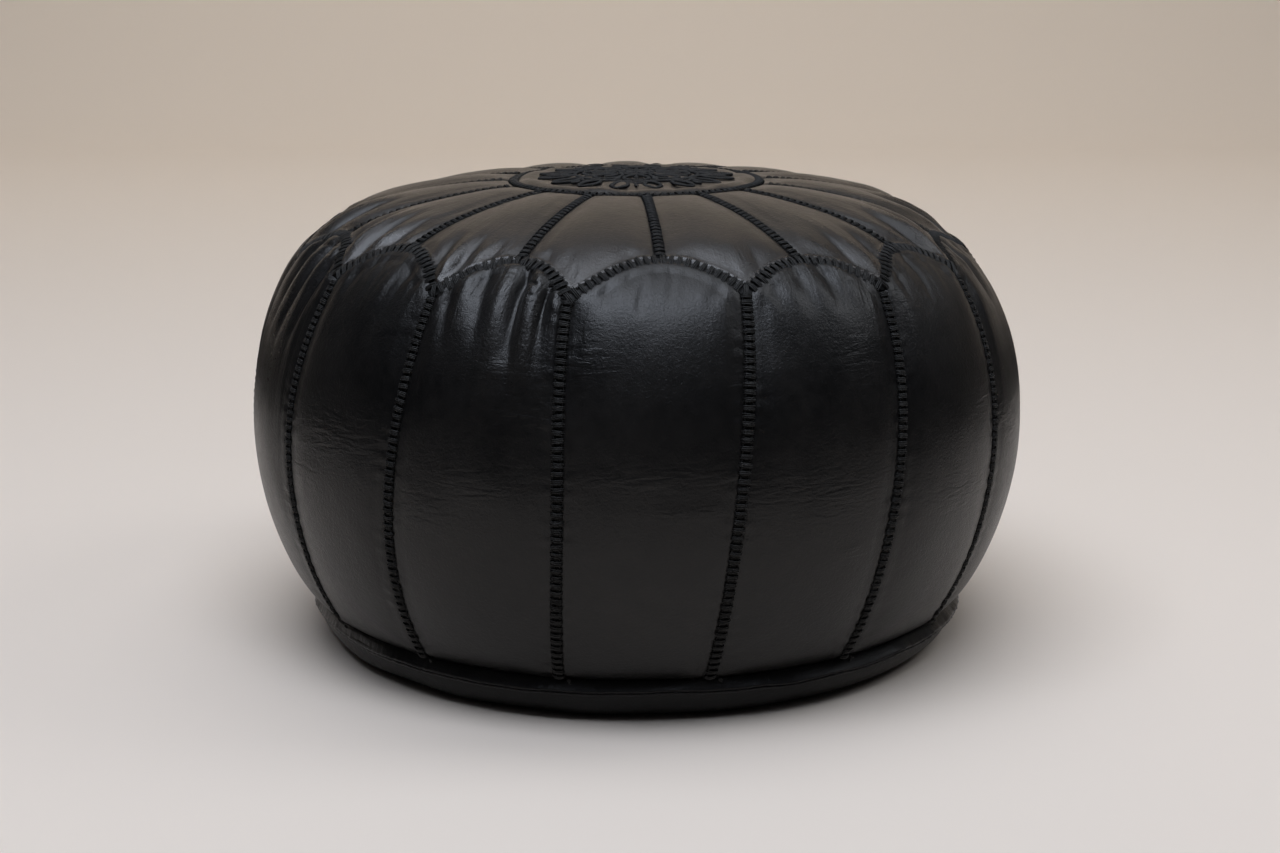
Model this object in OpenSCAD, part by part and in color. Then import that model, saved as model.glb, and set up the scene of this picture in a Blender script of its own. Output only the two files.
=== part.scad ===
// Stuffed leather floor pouf: arched side panels, crown petals half a panel out of step with them, a round
// medallion on top, stitched bands over the seams, and a round base that opens with a zip.
// Origin: centre of the face it stands on. +Z is up, the front is towards -Y, and the zip runs along X.

/* [Cover] */
// Number of side panels, and of crown petals
panel_count = 15; // [12:1:18]
// Widest diameter, across the side seams
pouf_d = 520; // [460:5:580]
// Height of the widest place above the floor
belly_z = 148; // [140:1:156]
// Radius of the side's curve as seen from the side
side_curve_r = 210; // [195:1:240]
// Height of the shoulder, where the side seams end
shoulder_z = 262; // [252:1:270]
// Height of the medallion's edge
medallion_edge_z = 306; // [302:1:312]
// Radius of the medallion
medallion_r = 83; // [60:1:100]
// Rise of the medallion's centre above its edge
medallion_rise = 4; // [2:0.5:8]
// Thickness of the lined leather
leather_t = 2.4; // [1.8:0.1:3]
// How far a side panel puffs out between its seams
panel_puff = 4; // [1:0.5:6]
// How far a crown petal puffs up between its seams
petal_puff = 3; // [1:0.5:4]
// Lean of the seams round the pouf, from the base to the shoulder, in degrees
seam_lean = 4; // [0:0.5:6]
// Turn of the first side seam from the front, in degrees
first_seam_turn = -10.4; // [-12:0.1:12]

/* [Seams] */
// Width of a stitched band
band_w = 7.5; // [5:0.5:9]
// Thickness of a stitched band
band_t = 1.4; // [1:0.1:2]
// Gap left between neighbouring pieces of leather
seam_gap = 0.6; // [0.4:0.1:1]
// Outer radius of the lip round the base seam
lip_r = 230; // [228:0.5:234]
// Thickness of the lip
lip_t = 3.6; // [3:0.1:4]

/* [Base] */
// Height of the base seam
base_seam_z = 28; // [27:0.5:30]
// Radius of the flat ring that the pouf stands on
base_flat_r = 199; // [190:1:200]
// Radius of the base leather's turned-up rim
base_rim_r = 24; // [23:0.5:25]
// Half the width of the recess that the zip lies in
recess_half_w = 13; // [12:0.5:15]
// Half the length of the recess
recess_half_l = 190; // [175:1:192]

/* [Zip] */
// Length of the toothed part of the zip
zip_l = 310; // [200:10:310]
// Height of the zip tape's underside above the floor
tape_z = 10.6; // [10.4:0.1:12]
// Thickness of the zip tape
tape_t = 0.8; // [0.5:0.1:1]
// Distance from one zip tooth to the next
tooth_pitch = 4; // [3:0.5:6]
// Length of the slider
slider_l = 18; // [16:1:22]
// Length of the pull tab beyond its pin
tab_l = 30; // [20:1:34]
// Radius of the slider's cross pin
pin_r = 1; // [0.8:0.1:1.2]
// Radial running clearance of the pull tab on its pin
pin_clearance = 0.05; // [0.02:0.01:0.1]

/* [Hidden] */
PANEL_NAMES = [for (i = [1:panel_count]) str("side_panel_", i < 10 ? "0" : "", i)];
PETAL_NAMES = [for (i = [1:panel_count]) str("crown_petal_", i < 10 ? "0" : "", i)];
$fn = 96;

leather_color = "#1b1a1a";
petal_color = "#242222";
thread_color = "#0c0c0c";

// Directions round the pouf
panel_angle = 360 / panel_count;
front = -90;

// The cover's outline in a plane through the axis, as [radius, height]. m runs from 0 at the base seam to 1 at
// the shoulder along one arc, and on to 2 at the medallion's edge along one cubic curve.
side_centre = [pouf_d / 2 - side_curve_r, belly_z];
low_angle = -asin((belly_z - base_seam_z) / side_curve_r);
high_angle = asin((shoulder_z - belly_z) / side_curve_r);
shoulder = side_centre + side_curve_r * [cos(high_angle), sin(high_angle)];
shoulder_handle = 27;
edge_handle = 67;
edge_slope = 3.4;
medallion_edge = [medallion_r, medallion_edge_z];
crown_curve = [
    shoulder,
    shoulder + shoulder_handle * [-sin(high_angle), cos(high_angle)],
    medallion_edge + edge_handle * [cos(edge_slope), -sin(edge_slope)],
    medallion_edge
];
// The peak of a side panel's arch, as m, and how square its shoulders are
arch_peak_m = 1.28;
arch_power = 2.2;
// The lean goes on to just past the shoulder
lean_end_m = 1.15;

function cubic(p, t) =
    pow(1 - t, 3) * p[0] + 3 * t * pow(1 - t, 2) * p[1] + 3 * t * t * (1 - t) * p[2] + pow(t, 3) * p[3];
function side_arc(m) =
    let (a = low_angle + (high_angle - low_angle) * m) side_centre + side_curve_r * [cos(a), sin(a)];
function outline(m) = m <= 1 ? side_arc(m) : cubic(crown_curve, m - 1);
function unit(v) = v / norm(v);
// Outward normal of the outline
step_m = 0.002;
function outline_normal(m) =
    let (d = unit(outline(min(2, m + step_m)) - outline(max(0, m - step_m)))) [d[1], -d[0]];
function outline_at(m, out) = outline(m) + out * outline_normal(m);

// Angle of side seam i at m; half numbers give the lines midway between two side seams
function seam_angle(i, m) =
    front + first_seam_turn + i * panel_angle + seam_lean * (min(m, lean_end_m) - 0.5);
function polar(a, rz) = [rz[0] * cos(a), rz[0] * sin(a), rz[1]];
// Height m of the arched seam, with s = 0 at a side seam and 1 midway between two
function arch_m(s) = 1 + (arch_peak_m - 1) * (1 - pow(1 - s, arch_power));
// A point on the cover near seam line i, off to the side by a share of a panel, and out by a distance
function cover_point(i, m, share, out) =
    polar(seam_angle(i + share, m), outline_at(m, out));

// ---- shells and bands as closed polyhedra ----

function grid_faces(nu, nv, first, flip) = [
    for (j = [0:nv - 1], i = [0:nu - 1])
        let (a = first + j * (nu + 1) + i, b = a + 1, c = b + nu + 1, d = a + nu + 1)
            each flip ? [[a, d, b], [d, c, b]] : [[a, b, d], [b, c, d]]
];
function rim_loop(nu, nv) = concat(
    [for (i = [0:nu - 1]) i],
    [for (j = [0:nv - 1]) j * (nu + 1) + nu],
    [for (i = [nu:-1:1]) nv * (nu + 1) + i],
    [for (j = [nv:-1:1]) j * (nu + 1)]
);
function rim_faces(loop, depth) = [
    for (k = [0:len(loop) - 1])
        let (a = loop[k], b = loop[(k + 1) % len(loop)])
            each [[a, b, a + depth], [b, b + depth, a + depth]]
];

// A curved sheet with an outer and an inner skin, both grids of (nu + 1) by (nv + 1) points
module sheet(outer, inner, nu, nv) {
    depth = (nu + 1) * (nv + 1);
    polyhedron(
        points = concat(outer, inner),
        faces = concat(
            grid_faces(nu, nv, 0, true),
            grid_faces(nu, nv, depth, false),
            rim_faces(rim_loop(nu, nv), depth)
        ),
        convexity = 4
    );
}

// A flat band swept along a path. Each ring is [outer left, outer right, inner right, inner left].
module band(rings, closed) {
    n = len(rings);
    last = closed ? n - 1 : n - 2;
    walls = [
        for (k = [0:last], e = [0:3])
            let (a = 4 * k + e, b = 4 * k + (e + 1) % 4, next = 4 * ((k + 1) % n))
                each [[a, b, next + e], [b, next + (e + 1) % 4, next + e]]
    ];
    caps = closed ? [] : [[3, 2, 1, 0], [4 * n - 4, 4 * n - 3, 4 * n - 2, 4 * n - 1]];
    polyhedron(points = [for (ring = rings) each ring], faces = concat(walls, caps), convexity = 6);
}

// The band's rings along points with outward normals, with the width across the path
function band_rings(points, normals, closed) = [
    for (k = [0:len(points) - 1])
        let (
            n = len(points),
            before = points[closed ? (k + n - 1) % n : max(0, k - 1)],
            after = points[closed ? (k + 1) % n : min(n - 1, k + 1)],
            side = band_w / 2 * unit(cross(after - before, normals[k])),
            low = points[k] + band_rise * normals[k],
            high = low + band_t * normals[k]
        )
            [high - side, high + side, low + side, low - side]
];
// The bands lie clear of the leather, which puffs up beside them
band_rise = 0.9;
function cover_normal(i, m, share) = polar(seam_angle(i + share, m), outline_normal(m));

// ---- leather pieces ----

panel_nu = 8;
panel_nv = 12;
// Rows of points crowd towards the shoulder, where the panel bends most
panel_row_power = 1.35;
petal_nu = 6;
petal_nv = 6;

// Share of the panel's width that half a seam gap takes up at m
function gap_share(m) = seam_gap / 2 / (outline(m)[0] * panel_angle * PI / 180);
function puff_across(u) = 1 - pow(abs(u), 2.4);
function puff_along(v) = 1 - pow(abs(2 * v - 1), 4);

// Side panel i lies between side seams i and i + 1
function panel_point(i, u, v, deep) =
    let (
        top_m = arch_m(1 - abs(u)) - arch_gap_m,
        m = top_m * v,
        share = 0.5 + u * (0.5 - gap_share(m)),
        puff = panel_puff * puff_across(u) * puff_along(v)
    )
        cover_point(i, m, share, puff - deep);
// Petal i lies across side seam i, with its point in the seam's end
function petal_point(i, u, v, deep) =
    let (
        low_m = arch_m(abs(u)) + arch_gap_m,
        m = low_m + (petal_top_m - low_m) * v,
        share = u * (0.5 - gap_share(m)),
        puff = petal_puff * puff_across(u) * puff_along(v)
    )
        cover_point(i, m, share, puff - deep);
// Half the gaps along the arches and at the medallion's edge, in m
arch_gap_m = 0.012;
petal_top_m = 1.994;

module side_panel(i) {
    grid = [
        for (j = [0:panel_nv], k = [0:panel_nu])
            [2 * k / panel_nu - 1, 1 - pow(1 - j / panel_nv, panel_row_power)]
    ];
    color(leather_color)
        sheet(
            [for (g = grid) panel_point(i, g[0], g[1], 0)],
            [for (g = grid) panel_point(i, g[0], g[1], leather_t)],
            panel_nu, panel_nv
        );
}

module crown_petal(i) {
    grid = [for (j = [0:petal_nv], k = [0:petal_nu]) [2 * k / petal_nu - 1, j / petal_nv]];
    color(petal_color)
        sheet(
            [for (g = grid) petal_point(i, g[0], g[1], 0)],
            [for (g = grid) petal_point(i, g[0], g[1], leather_t)],
            petal_nu, petal_nv
        );
}

// Outline of the medallion's dome, lowered by a distance, from radius r to the axis
dome_r = (medallion_r * medallion_r + medallion_rise * medallion_rise) / (2 * medallion_rise);
dome_points = 8;
function dome_z(r) = medallion_edge_z + medallion_rise - (dome_r - sqrt(dome_r * dome_r - r * r));
module dome_layer(r, low, high) {
    radii = [for (k = [0:dome_points]) r * (1 - k / dome_points)];
    rotate_extrude()
        polygon(concat(
            [for (x = radii) [x, dome_z(x) + high]],
            [for (k = [dome_points:-1:0]) [radii[k], dome_z(radii[k]) + low]]
        ));
}

module medallion() {
    color(leather_color) dome_layer(medallion_r - seam_gap / 2, -leather_t, 0);
}

// ---- embroidery ----

embroidery_r = 68;
embroidery_t = 1.4;
embroidery_rise = 0.3;
thread_w = 3.2;
star_points = 8;

// A star outline whose points reach r and whose hollows reach hollow_r
module star(points, r, hollow_r) {
    polygon([
        for (k = [0:2 * points - 1])
            let (a = k * 180 / points, d = k % 2 == 0 ? r : hollow_r) d * [cos(a), sin(a)]
    ]);
}
module star_line(points, r, hollow_r, w) {
    difference() {
        star(points, r, hollow_r);
        star(points, r - 2 * w, hollow_r - w);
    }
}
module ring_line(r, w) {
    difference() {
        circle(r + w / 2);
        circle(r - w / 2);
    }
}
module embroidery_pattern() {
    star_line(2 * star_points, embroidery_r, 0.76 * embroidery_r, thread_w);
    star_line(star_points, 0.74 * embroidery_r, 0.46 * embroidery_r, thread_w);
    ring_line(0.34 * embroidery_r, thread_w);
    star(star_points, 0.26 * embroidery_r, 0.13 * embroidery_r);
    for (k = [0:star_points - 1])
        rotate((k + 0.5) * 360 / star_points)
            translate([0.6 * embroidery_r, 0])
                ring_line(0.09 * embroidery_r, thread_w);
}
module medallion_embroidery() {
    color(thread_color)
        intersection() {
            translate([0, 0, medallion_edge_z - 10]) linear_extrude(30) embroidery_pattern();
            dome_layer(embroidery_r + 2, embroidery_rise, embroidery_rise + embroidery_t);
        }
}

// The ring seam's band follows the slope at the medallion's edge
module medallion_ring_stitching() {
    drop = band_w / 2 * sin(edge_slope);
    color(thread_color)
        rotate_extrude()
            translate([medallion_r, medallion_edge_z + band_rise])
                polygon([
                    [-band_w / 2, drop], [band_w / 2, -drop],
                    [band_w / 2, band_t - drop], [-band_w / 2, band_t + drop]
                ]);
}

// ---- stitched bands ----

side_band_steps = 12;
side_band_top_m = 0.955;
arch_steps = 6;
crown_band_steps = 5;
// The crown's bands start clear of the arches' band and end clear of the medallion's
crown_band_from_m = arch_peak_m + 0.09;
crown_band_to_m = 1.93;

// A straight stitched band along seam line i, from one m to another
module seam_band(i, from_m, to_m, steps) {
    ms = [for (k = [0:steps]) from_m + (to_m - from_m) * k / steps];
    band(
        band_rings(
            [for (m = ms) cover_point(i, m, 0, 0)],
            [for (m = ms) cover_normal(i, m, 0)],
            false
        ),
        false
    );
}
module side_seam_stitching() {
    color(thread_color)
        for (i = [0:panel_count - 1])
            seam_band(i, 0.012, side_band_top_m, side_band_steps);
}
module crown_seam_stitching() {
    color(thread_color)
        for (i = [0:panel_count - 1])
            seam_band(i + 0.5, crown_band_from_m, crown_band_to_m, crown_band_steps);
}
module shoulder_seam_stitching() {
    shares = [for (i = [0:panel_count - 1], k = [0:2 * arch_steps - 1]) [i, k / (2 * arch_steps)]];
    color(thread_color)
        band(
            band_rings(
                [for (s = shares) cover_point(s[0], shoulder_seam_m(s[1]), s[1], 0)],
                [for (s = shares) cover_normal(s[0], shoulder_seam_m(s[1]), s[1])],
                true
            ),
            true
        );
}
// Height of the arched seam at a share of the way from one side seam to the next
function shoulder_seam_m(share) = arch_m(1 - abs(2 * share - 1));

// ---- base ----

lip_in_r = 220.6;
lip_z = 23.0;
base_panel_top = 22.4;

// Outline of the base and all that it holds up to a height, drawn in by a distance
module base_outline(deep, top) {
    translate([0, deep]) square([base_flat_r, top - deep]);
    intersection() {
        translate([base_flat_r, base_rim_r]) circle(base_rim_r - deep);
        square([pouf_d, top]);
    }
}
module base_lip() {
    color(leather_color)
        rotate_extrude() {
            translate([lip_in_r, lip_z]) square([lip_r - lip_t / 2 - lip_in_r, lip_t]);
            translate([lip_r - lip_t / 2, lip_z + lip_t / 2]) circle(lip_t / 2);
        }
}
module base_shell() {
    rotate_extrude()
        difference() {
            base_outline(0, base_panel_top);
            base_outline(leather_t, base_panel_top + 1);
        }
}
module base_fill(deep) {
    rotate_extrude() base_outline(deep, base_panel_top);
}
// Front half of the base, with the edge by the zip turned up to meet the tape
module base_half() {
    intersection() {
        base_shell();
        translate([-pouf_d / 2, -pouf_d / 2, 0])
            cube([pouf_d, pouf_d / 2 - recess_half_w, base_seam_z]);
    }
    intersection() {
        base_fill(leather_t);
        translate([-pouf_d / 2, -recess_half_w - leather_t, leather_t])
            cube([pouf_d, leather_t, tape_z - leather_t]);
    }
}
module base_panel_front() {
    color(leather_color) base_half();
}
module base_panel_back() {
    color(leather_color) mirror([0, 1, 0]) base_half();
}
// The patch that closes the recess beyond one end of the zip
patch_gap = 0.3;
module zip_end_patch() {
    intersection() {
        base_shell();
        translate([recess_half_l, -recess_half_w + patch_gap, 0])
            cube([pouf_d, 2 * (recess_half_w - patch_gap), base_seam_z]);
    }
    intersection() {
        base_fill(leather_t);
        translate([recess_half_l, -recess_half_w + patch_gap, leather_t])
            cube([leather_t, 2 * (recess_half_w - patch_gap), tape_z - leather_t - patch_gap]);
    }
}
module zip_end_patch_right() {
    color(leather_color) zip_end_patch();
}
module zip_end_patch_left() {
    color(leather_color) mirror([1, 0, 0]) zip_end_patch();
}

// ---- zip ----

// The teeth stop short of the middle, so that the slider's divider passes between them
divider_half_w = 0.5;
teeth_in_y = 0.8;
teeth_out_y = 4.4;
teeth_low_z = tape_z - 1;
teeth_high_z = tape_z + tape_t + 1;
tooth_l = 2.6;
tooth_count = floor(zip_l / tooth_pitch);
bead_t = 0.9;
stop_l = 5;
slider_gap = 0.4;
plate_t = 1.5;

module zip_tape() {
    translate([-recess_half_l - 4, -recess_half_w - leather_t - 1.6, tape_z])
        cube([2 * recess_half_l + 8, recess_half_w + leather_t + 1.6 - teeth_out_y, tape_t]);
}
module zip_tape_front() {
    color("#141414") zip_tape();
}
module zip_tape_back() {
    color("#141414") mirror([0, 1, 0]) zip_tape();
}
// A row of teeth on the bead along the tape's edge
module zip_teeth() {
    bead_y = teeth_out_y - bead_t;
    translate([-zip_l / 2, -teeth_out_y, tape_z - (bead_t - tape_t) / 2 - 0.3])
        cube([zip_l, bead_t, bead_t + 0.6]);
    for (k = [0:tooth_count - 1])
        translate([-zip_l / 2 + (k + 0.5) * tooth_pitch - tooth_l / 2, -bead_y, teeth_low_z])
            cube([tooth_l, bead_y - teeth_in_y, teeth_high_z - teeth_low_z]);
}
module zip_teeth_front() {
    color("#202020") zip_teeth();
}
module zip_teeth_back() {
    color("#202020") mirror([0, 1, 0]) zip_teeth();
}
// A metal stop crimped across both rows of teeth just past their end
module zip_stop() {
    translate([zip_l / 2 + seam_gap, -teeth_out_y + seam_gap / 2, teeth_low_z])
        cube([stop_l, 2 * teeth_out_y - seam_gap, teeth_high_z - teeth_low_z]);
}
module zip_stop_closed_end() {
    color("#3a3a3c") zip_stop();
}
module zip_stop_open_end() {
    color("#3a3a3c") mirror([1, 0, 0]) zip_stop();
}

// The slider rests at the closed end of the zip
slider_x = zip_l / 2 - slider_l / 2 - 1;
slider_half_w = 6.6;
lip_in_y = 4.9;
low_plate_z = teeth_low_z - slider_gap - plate_t;
high_plate_z = teeth_high_z + slider_gap;
pin_z = low_plate_z - 2.7;
pin_x = slider_x + 3;
lug_in_y = 2.2;
lug_out_y = 3.4;
lug_r = 2.3;
module zip_slider() {
    half = slider_l / 2;
    color("#3a3a3c")
        difference() {
            translate([slider_x, 0, 0]) {
                translate([-half, -slider_half_w, low_plate_z]) cube([slider_l, 2 * slider_half_w, plate_t]);
                translate([-half, -slider_half_w, high_plate_z]) cube([slider_l, 2 * slider_half_w, plate_t]);
                translate([half - 5, -divider_half_w, low_plate_z])
                    cube([4, 2 * divider_half_w, high_plate_z + plate_t - low_plate_z]);
                for (side = [-1, 1])
                    translate([-half, side < 0 ? -slider_half_w : lip_in_y, 0]) {
                        translate([0, 0, low_plate_z])
                            cube([slider_l, slider_half_w - lip_in_y, tape_z - slider_gap - low_plate_z]);
                        translate([0, 0, tape_z + tape_t + slider_gap])
                            cube([
                                slider_l, slider_half_w - lip_in_y,
                                high_plate_z + plate_t - tape_z - tape_t - slider_gap
                            ]);
                    }
                for (side = [-1, 1])
                    translate([pin_x - slider_x, side < 0 ? -lug_out_y : lug_in_y, 0]) {
                        translate([0, lug_out_y - lug_in_y, pin_z])
                            rotate([90, 0, 0]) cylinder(r = lug_r, h = lug_out_y - lug_in_y);
                        translate([-lug_r, 0, pin_z])
                            cube([2 * lug_r, lug_out_y - lug_in_y, low_plate_z + plate_t / 2 - pin_z]);
                    }
            }
            translate([pin_x, lug_out_y + 1, pin_z])
                rotate([90, 0, 0]) cylinder(r = pin_r, h = 2 * lug_out_y + 2);
        }
}
module zip_slider_pin() {
    color("#55565a")
        translate([pin_x, lug_out_y, pin_z]) rotate([90, 0, 0]) cylinder(r = pin_r, h = 2 * lug_out_y);
}

// The pull tab lies along the zip, with a narrow eye between the lugs and a wide grip
eye_half_w = lug_in_y - 0.3;
eye_r = 2.2;
grip_half_w = 4.5;
grip_from = 5;
tab_t = 1.8;
tab_slot_r = 1.6;
module zip_pull_tab() {
    color("#3a3a3c")
        translate([pin_x, 0, pin_z])
            difference() {
                union() {
                    translate([0, eye_half_w, 0])
                        rotate([90, 0, 0]) cylinder(r = eye_r, h = 2 * eye_half_w);
                    translate([-grip_from - 1, -eye_half_w, -tab_t / 2])
                        cube([grip_from + 1, 2 * eye_half_w, tab_t]);
                    translate([0, 0, -tab_t / 2])
                        linear_extrude(tab_t)
                            difference() {
                                union() {
                                    translate([-tab_l + grip_half_w, -grip_half_w])
                                        square([tab_l - grip_half_w - grip_from, 2 * grip_half_w]);
                                    translate([-tab_l + grip_half_w, 0]) circle(grip_half_w);
                                }
                                translate([-tab_l + grip_half_w, 0]) circle(tab_slot_r);
                            }
                }
                translate([0, eye_half_w + 1, 0])
                    rotate([90, 0, 0]) cylinder(r = pin_r + pin_clearance, h = 2 * eye_half_w + 2);
            }
}

// ---- inside ----

liner_deep = 5.4;
liner_t = 0.8;
stuffing_deep = 6.8;
inside_steps = 10;
rim_steps = 4;
groove_half_w = recess_half_w + leather_t + 2.6;
groove_z = high_plate_z + plate_t + 1;

// Everything inside the cover, drawn in from its outer face by a distance, as a solid of revolution
module inside(deep) {
    rotate_extrude()
        polygon(concat(
            [[0, deep]],
            [
                for (k = [0:rim_steps])
                    let (a = -90 + 90 * k / rim_steps)
                        [base_flat_r, base_rim_r] + (base_rim_r - deep) * [cos(a), sin(a)]
            ],
            [for (k = [1:2 * inside_steps]) outline_at(k / inside_steps, -deep)],
            [[0, medallion_edge_z + medallion_rise - deep - 0.6]]
        ));
}
// The room over the zip that the slider and the tapes need, grown by a distance
module groove(grow) {
    translate([-pouf_d / 2, -groove_half_w - grow, 0])
        cube([pouf_d, 2 * (groove_half_w + grow), groove_z + grow]);
}
module inner_liner() {
    color("#cfc8b8")
        difference() {
            inside(liner_deep);
            groove(0);
            difference() {
                inside(liner_deep + liner_t);
                groove(liner_t);
            }
        }
}
module stuffing() {
    color("#e6e0d2")
        difference() {
            inside(stuffing_deep);
            groove(stuffing_deep - liner_deep);
        }
}

for (i = [0:panel_count - 1])
    side_panel(i);
for (i = [0:panel_count - 1])
    crown_petal(i);
medallion();
medallion_embroidery();
medallion_ring_stitching();
crown_seam_stitching();
shoulder_seam_stitching();
side_seam_stitching();
base_lip();
base_panel_front();
base_panel_back();
zip_end_patch_left();
zip_end_patch_right();
zip_tape_front();
zip_tape_back();
zip_teeth_front();
zip_teeth_back();
zip_stop_closed_end();
zip_stop_open_end();
zip_slider();
zip_slider_pin();
zip_pull_tab();
inner_liner();
stuffing();
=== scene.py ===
import math

import bpy
import numpy as np
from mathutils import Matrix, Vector


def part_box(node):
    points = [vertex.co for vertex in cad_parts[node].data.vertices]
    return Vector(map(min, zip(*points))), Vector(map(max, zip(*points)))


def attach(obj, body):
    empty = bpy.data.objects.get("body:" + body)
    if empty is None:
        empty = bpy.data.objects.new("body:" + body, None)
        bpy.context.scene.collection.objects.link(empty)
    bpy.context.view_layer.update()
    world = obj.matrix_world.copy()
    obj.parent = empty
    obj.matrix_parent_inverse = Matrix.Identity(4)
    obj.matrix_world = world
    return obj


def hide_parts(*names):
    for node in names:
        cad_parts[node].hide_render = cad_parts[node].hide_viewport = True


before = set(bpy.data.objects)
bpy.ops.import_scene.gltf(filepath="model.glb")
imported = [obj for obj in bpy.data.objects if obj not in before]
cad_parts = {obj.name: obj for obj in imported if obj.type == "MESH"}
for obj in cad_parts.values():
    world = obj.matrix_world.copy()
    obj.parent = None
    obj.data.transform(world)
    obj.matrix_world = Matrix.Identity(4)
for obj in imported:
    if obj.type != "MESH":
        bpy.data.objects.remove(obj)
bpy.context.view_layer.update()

# ---- driving dimensions, in metres and degrees, the same as the CAD's ----

PANELS = sum(name.startswith("side_panel_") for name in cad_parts)
STEP = 360 / PANELS
SIDE_CURVE_R = 0.210
BELLY_R, BELLY_Z = 0.260, 0.148
BASE_SEAM_Z, SHOULDER_Z = 0.028, 0.262
SHOULDER_HANDLE, EDGE_HANDLE, EDGE_SLOPE = 0.027, 0.067, 3.4
SEAM_LEAN, FIRST_SEAM, LEAN_END = 4.0, -10.4, 1.15
ARCH_PEAK, ARCH_POWER = 1.28, 2.2
BAND_W = 0.0075
TUCK_M, TUCK_IN, TUCK_DOWN = 0.03, 0.0042, 0.0016

MEDALLION_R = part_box("medallion")[1].x + 0.0003
MEDALLION_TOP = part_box("medallion")[1].z
MEDALLION_RISE = 0.004
MEDALLION_EDGE_Z = MEDALLION_TOP - MEDALLION_RISE
TAPE_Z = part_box("zip_tape_front")[0].z

rng = np.random.default_rng(7)


def rise(x, width):
    """0 where x is below 0, 1 where it is over width, and evenly between."""
    return np.clip(x / width, 0, 1)


def bulge(d, centre, width, height=1.0):
    """A smooth bump in d."""
    return height * np.exp(-((d - centre) / width) ** 2)


def circle(count):
    """Points [x, y] round a circle of radius 1."""
    a = np.arange(count) * 2 * math.pi / count
    return np.column_stack([np.cos(a), np.sin(a)])


def spun(profile, columns):
    """Points (rows, columns, 3) of a profile of [radius, height] turned round the middle."""
    flat = profile[:, None, :1] * circle(columns)[None]
    return np.concatenate([flat, np.broadcast_to(profile[:, None, 1:], (len(profile), columns, 1))], -1)


# ---- the cover's outline, as in the CAD ----

LOW_ANGLE = -math.asin((BELLY_Z - BASE_SEAM_Z) / SIDE_CURVE_R)
HIGH_ANGLE = math.asin((SHOULDER_Z - BELLY_Z) / SIDE_CURVE_R)
SIDE_CENTRE = np.array([BELLY_R - SIDE_CURVE_R, BELLY_Z])
SHOULDER = SIDE_CENTRE + SIDE_CURVE_R * np.array([math.cos(HIGH_ANGLE), math.sin(HIGH_ANGLE)])
EDGE = np.array([MEDALLION_R, MEDALLION_EDGE_Z])
SLOPE = math.radians(EDGE_SLOPE)
CROWN = [
    SHOULDER,
    SHOULDER + SHOULDER_HANDLE * np.array([-math.sin(HIGH_ANGLE), math.cos(HIGH_ANGLE)]),
    EDGE + EDGE_HANDLE * np.array([math.cos(SLOPE), -math.sin(SLOPE)]),
    EDGE,
]


def outline(m):
    """[radius, height] of the cover at m: 0 at the base seam, 1 at the shoulder, 2 at the medallion's edge."""
    m = np.asarray(m, float)
    a = LOW_ANGLE + (HIGH_ANGLE - LOW_ANGLE) * np.clip(m, 0, 1)
    side = SIDE_CENTRE + SIDE_CURVE_R * np.stack([np.cos(a), np.sin(a)], -1)
    # Below the base seam the leather turns in under itself, down to the lip
    tuck = rise(-m, TUCK_M)
    side = side - np.stack([TUCK_IN * tuck ** 1.4, TUCK_DOWN * tuck], -1)
    t = np.clip(m - 1, 0, 1.2)[..., None]
    crown = (1 - t) ** 3 * CROWN[0] + 3 * t * (1 - t) ** 2 * CROWN[1]
    crown = crown + 3 * t * t * (1 - t) * CROWN[2] + t ** 3 * CROWN[3]
    return np.where((m <= 1)[..., None], side, crown)


def outline_normal(m):
    m = np.clip(np.asarray(m, float), 0, 2)
    d = unit(outline(np.minimum(m + 0.002, 2)) - outline(np.maximum(m - 0.002, 0)))
    return np.stack([d[..., 1], -d[..., 0]], -1)


M_TABLE = np.linspace(0, 2, 801)
RUN_TABLE = np.concatenate([[0], np.cumsum(np.linalg.norm(np.diff(outline(M_TABLE), axis=0), axis=1))])


def run_of(m):
    """Distance along the cover from the base seam up to m."""
    return np.interp(m, M_TABLE, RUN_TABLE)


# Hand sewing: how far each side seam strays, in degrees, low down and at its top, how high it ends (VALLEY)
# and how high the arch to its right rises (PEAK), both in m
SWAY = np.column_stack([rng.uniform(-0.6, 0.6, PANELS), rng.uniform(-1.2, 1.2, PANELS)])
VALLEY = rng.uniform(-0.02, 0.03, PANELS)
PEAK = rng.uniform(-0.015, 0.02, PANELS)
SWAY[:4] = [(0.5, -1.7), (-0.3, 0.8), (-0.9, 1.2), (-1.0, 0.6)]
SWAY[-3:] = [(1.6, 1.4), (1.6, 1.2), (-0.5, 0.4)]
VALLEY[:4] = (0.02, 0.06, 0.0, 0.0)
VALLEY[-2:] = (0.0, 0.0)
PEAK[0] = 0.04

# The stuffing has settled on one side, so the shoulder there has sunk a little
SLUMP_DEPTH, SLUMP_M, SLUMP_M_REACH = 0.0062, 1.2, 0.28
SLUMP_ANGLE, SLUMP_ANGLE_REACH = math.radians(-4), math.radians(34)


def stray(table, s):
    """A smooth value at seam coordinate s between the ones that table gives for whole seams."""
    s = np.asarray(s, float)
    i = np.floor(s).astype(int)
    t = s - i
    t = t * t * (3 - 2 * t)
    return table[i % PANELS] * (1 - t) + table[(i + 1) % PANELS] * t


def seam_angle(s, m):
    """Angle round the pouf, in radians, of seam coordinate s: whole numbers are side seams."""
    m = np.asarray(m, float)
    low = stray(SWAY[:, 0], s) * bulge(m, 0.3, 0.3)
    high = stray(SWAY[:, 1], s) * bulge(m, 1.0, 0.3)
    lean = SEAM_LEAN * (np.minimum(m, LEAN_END) - 0.5)
    return np.radians(-90 + FIRST_SEAM + s * STEP + lean + low + high)


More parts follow.
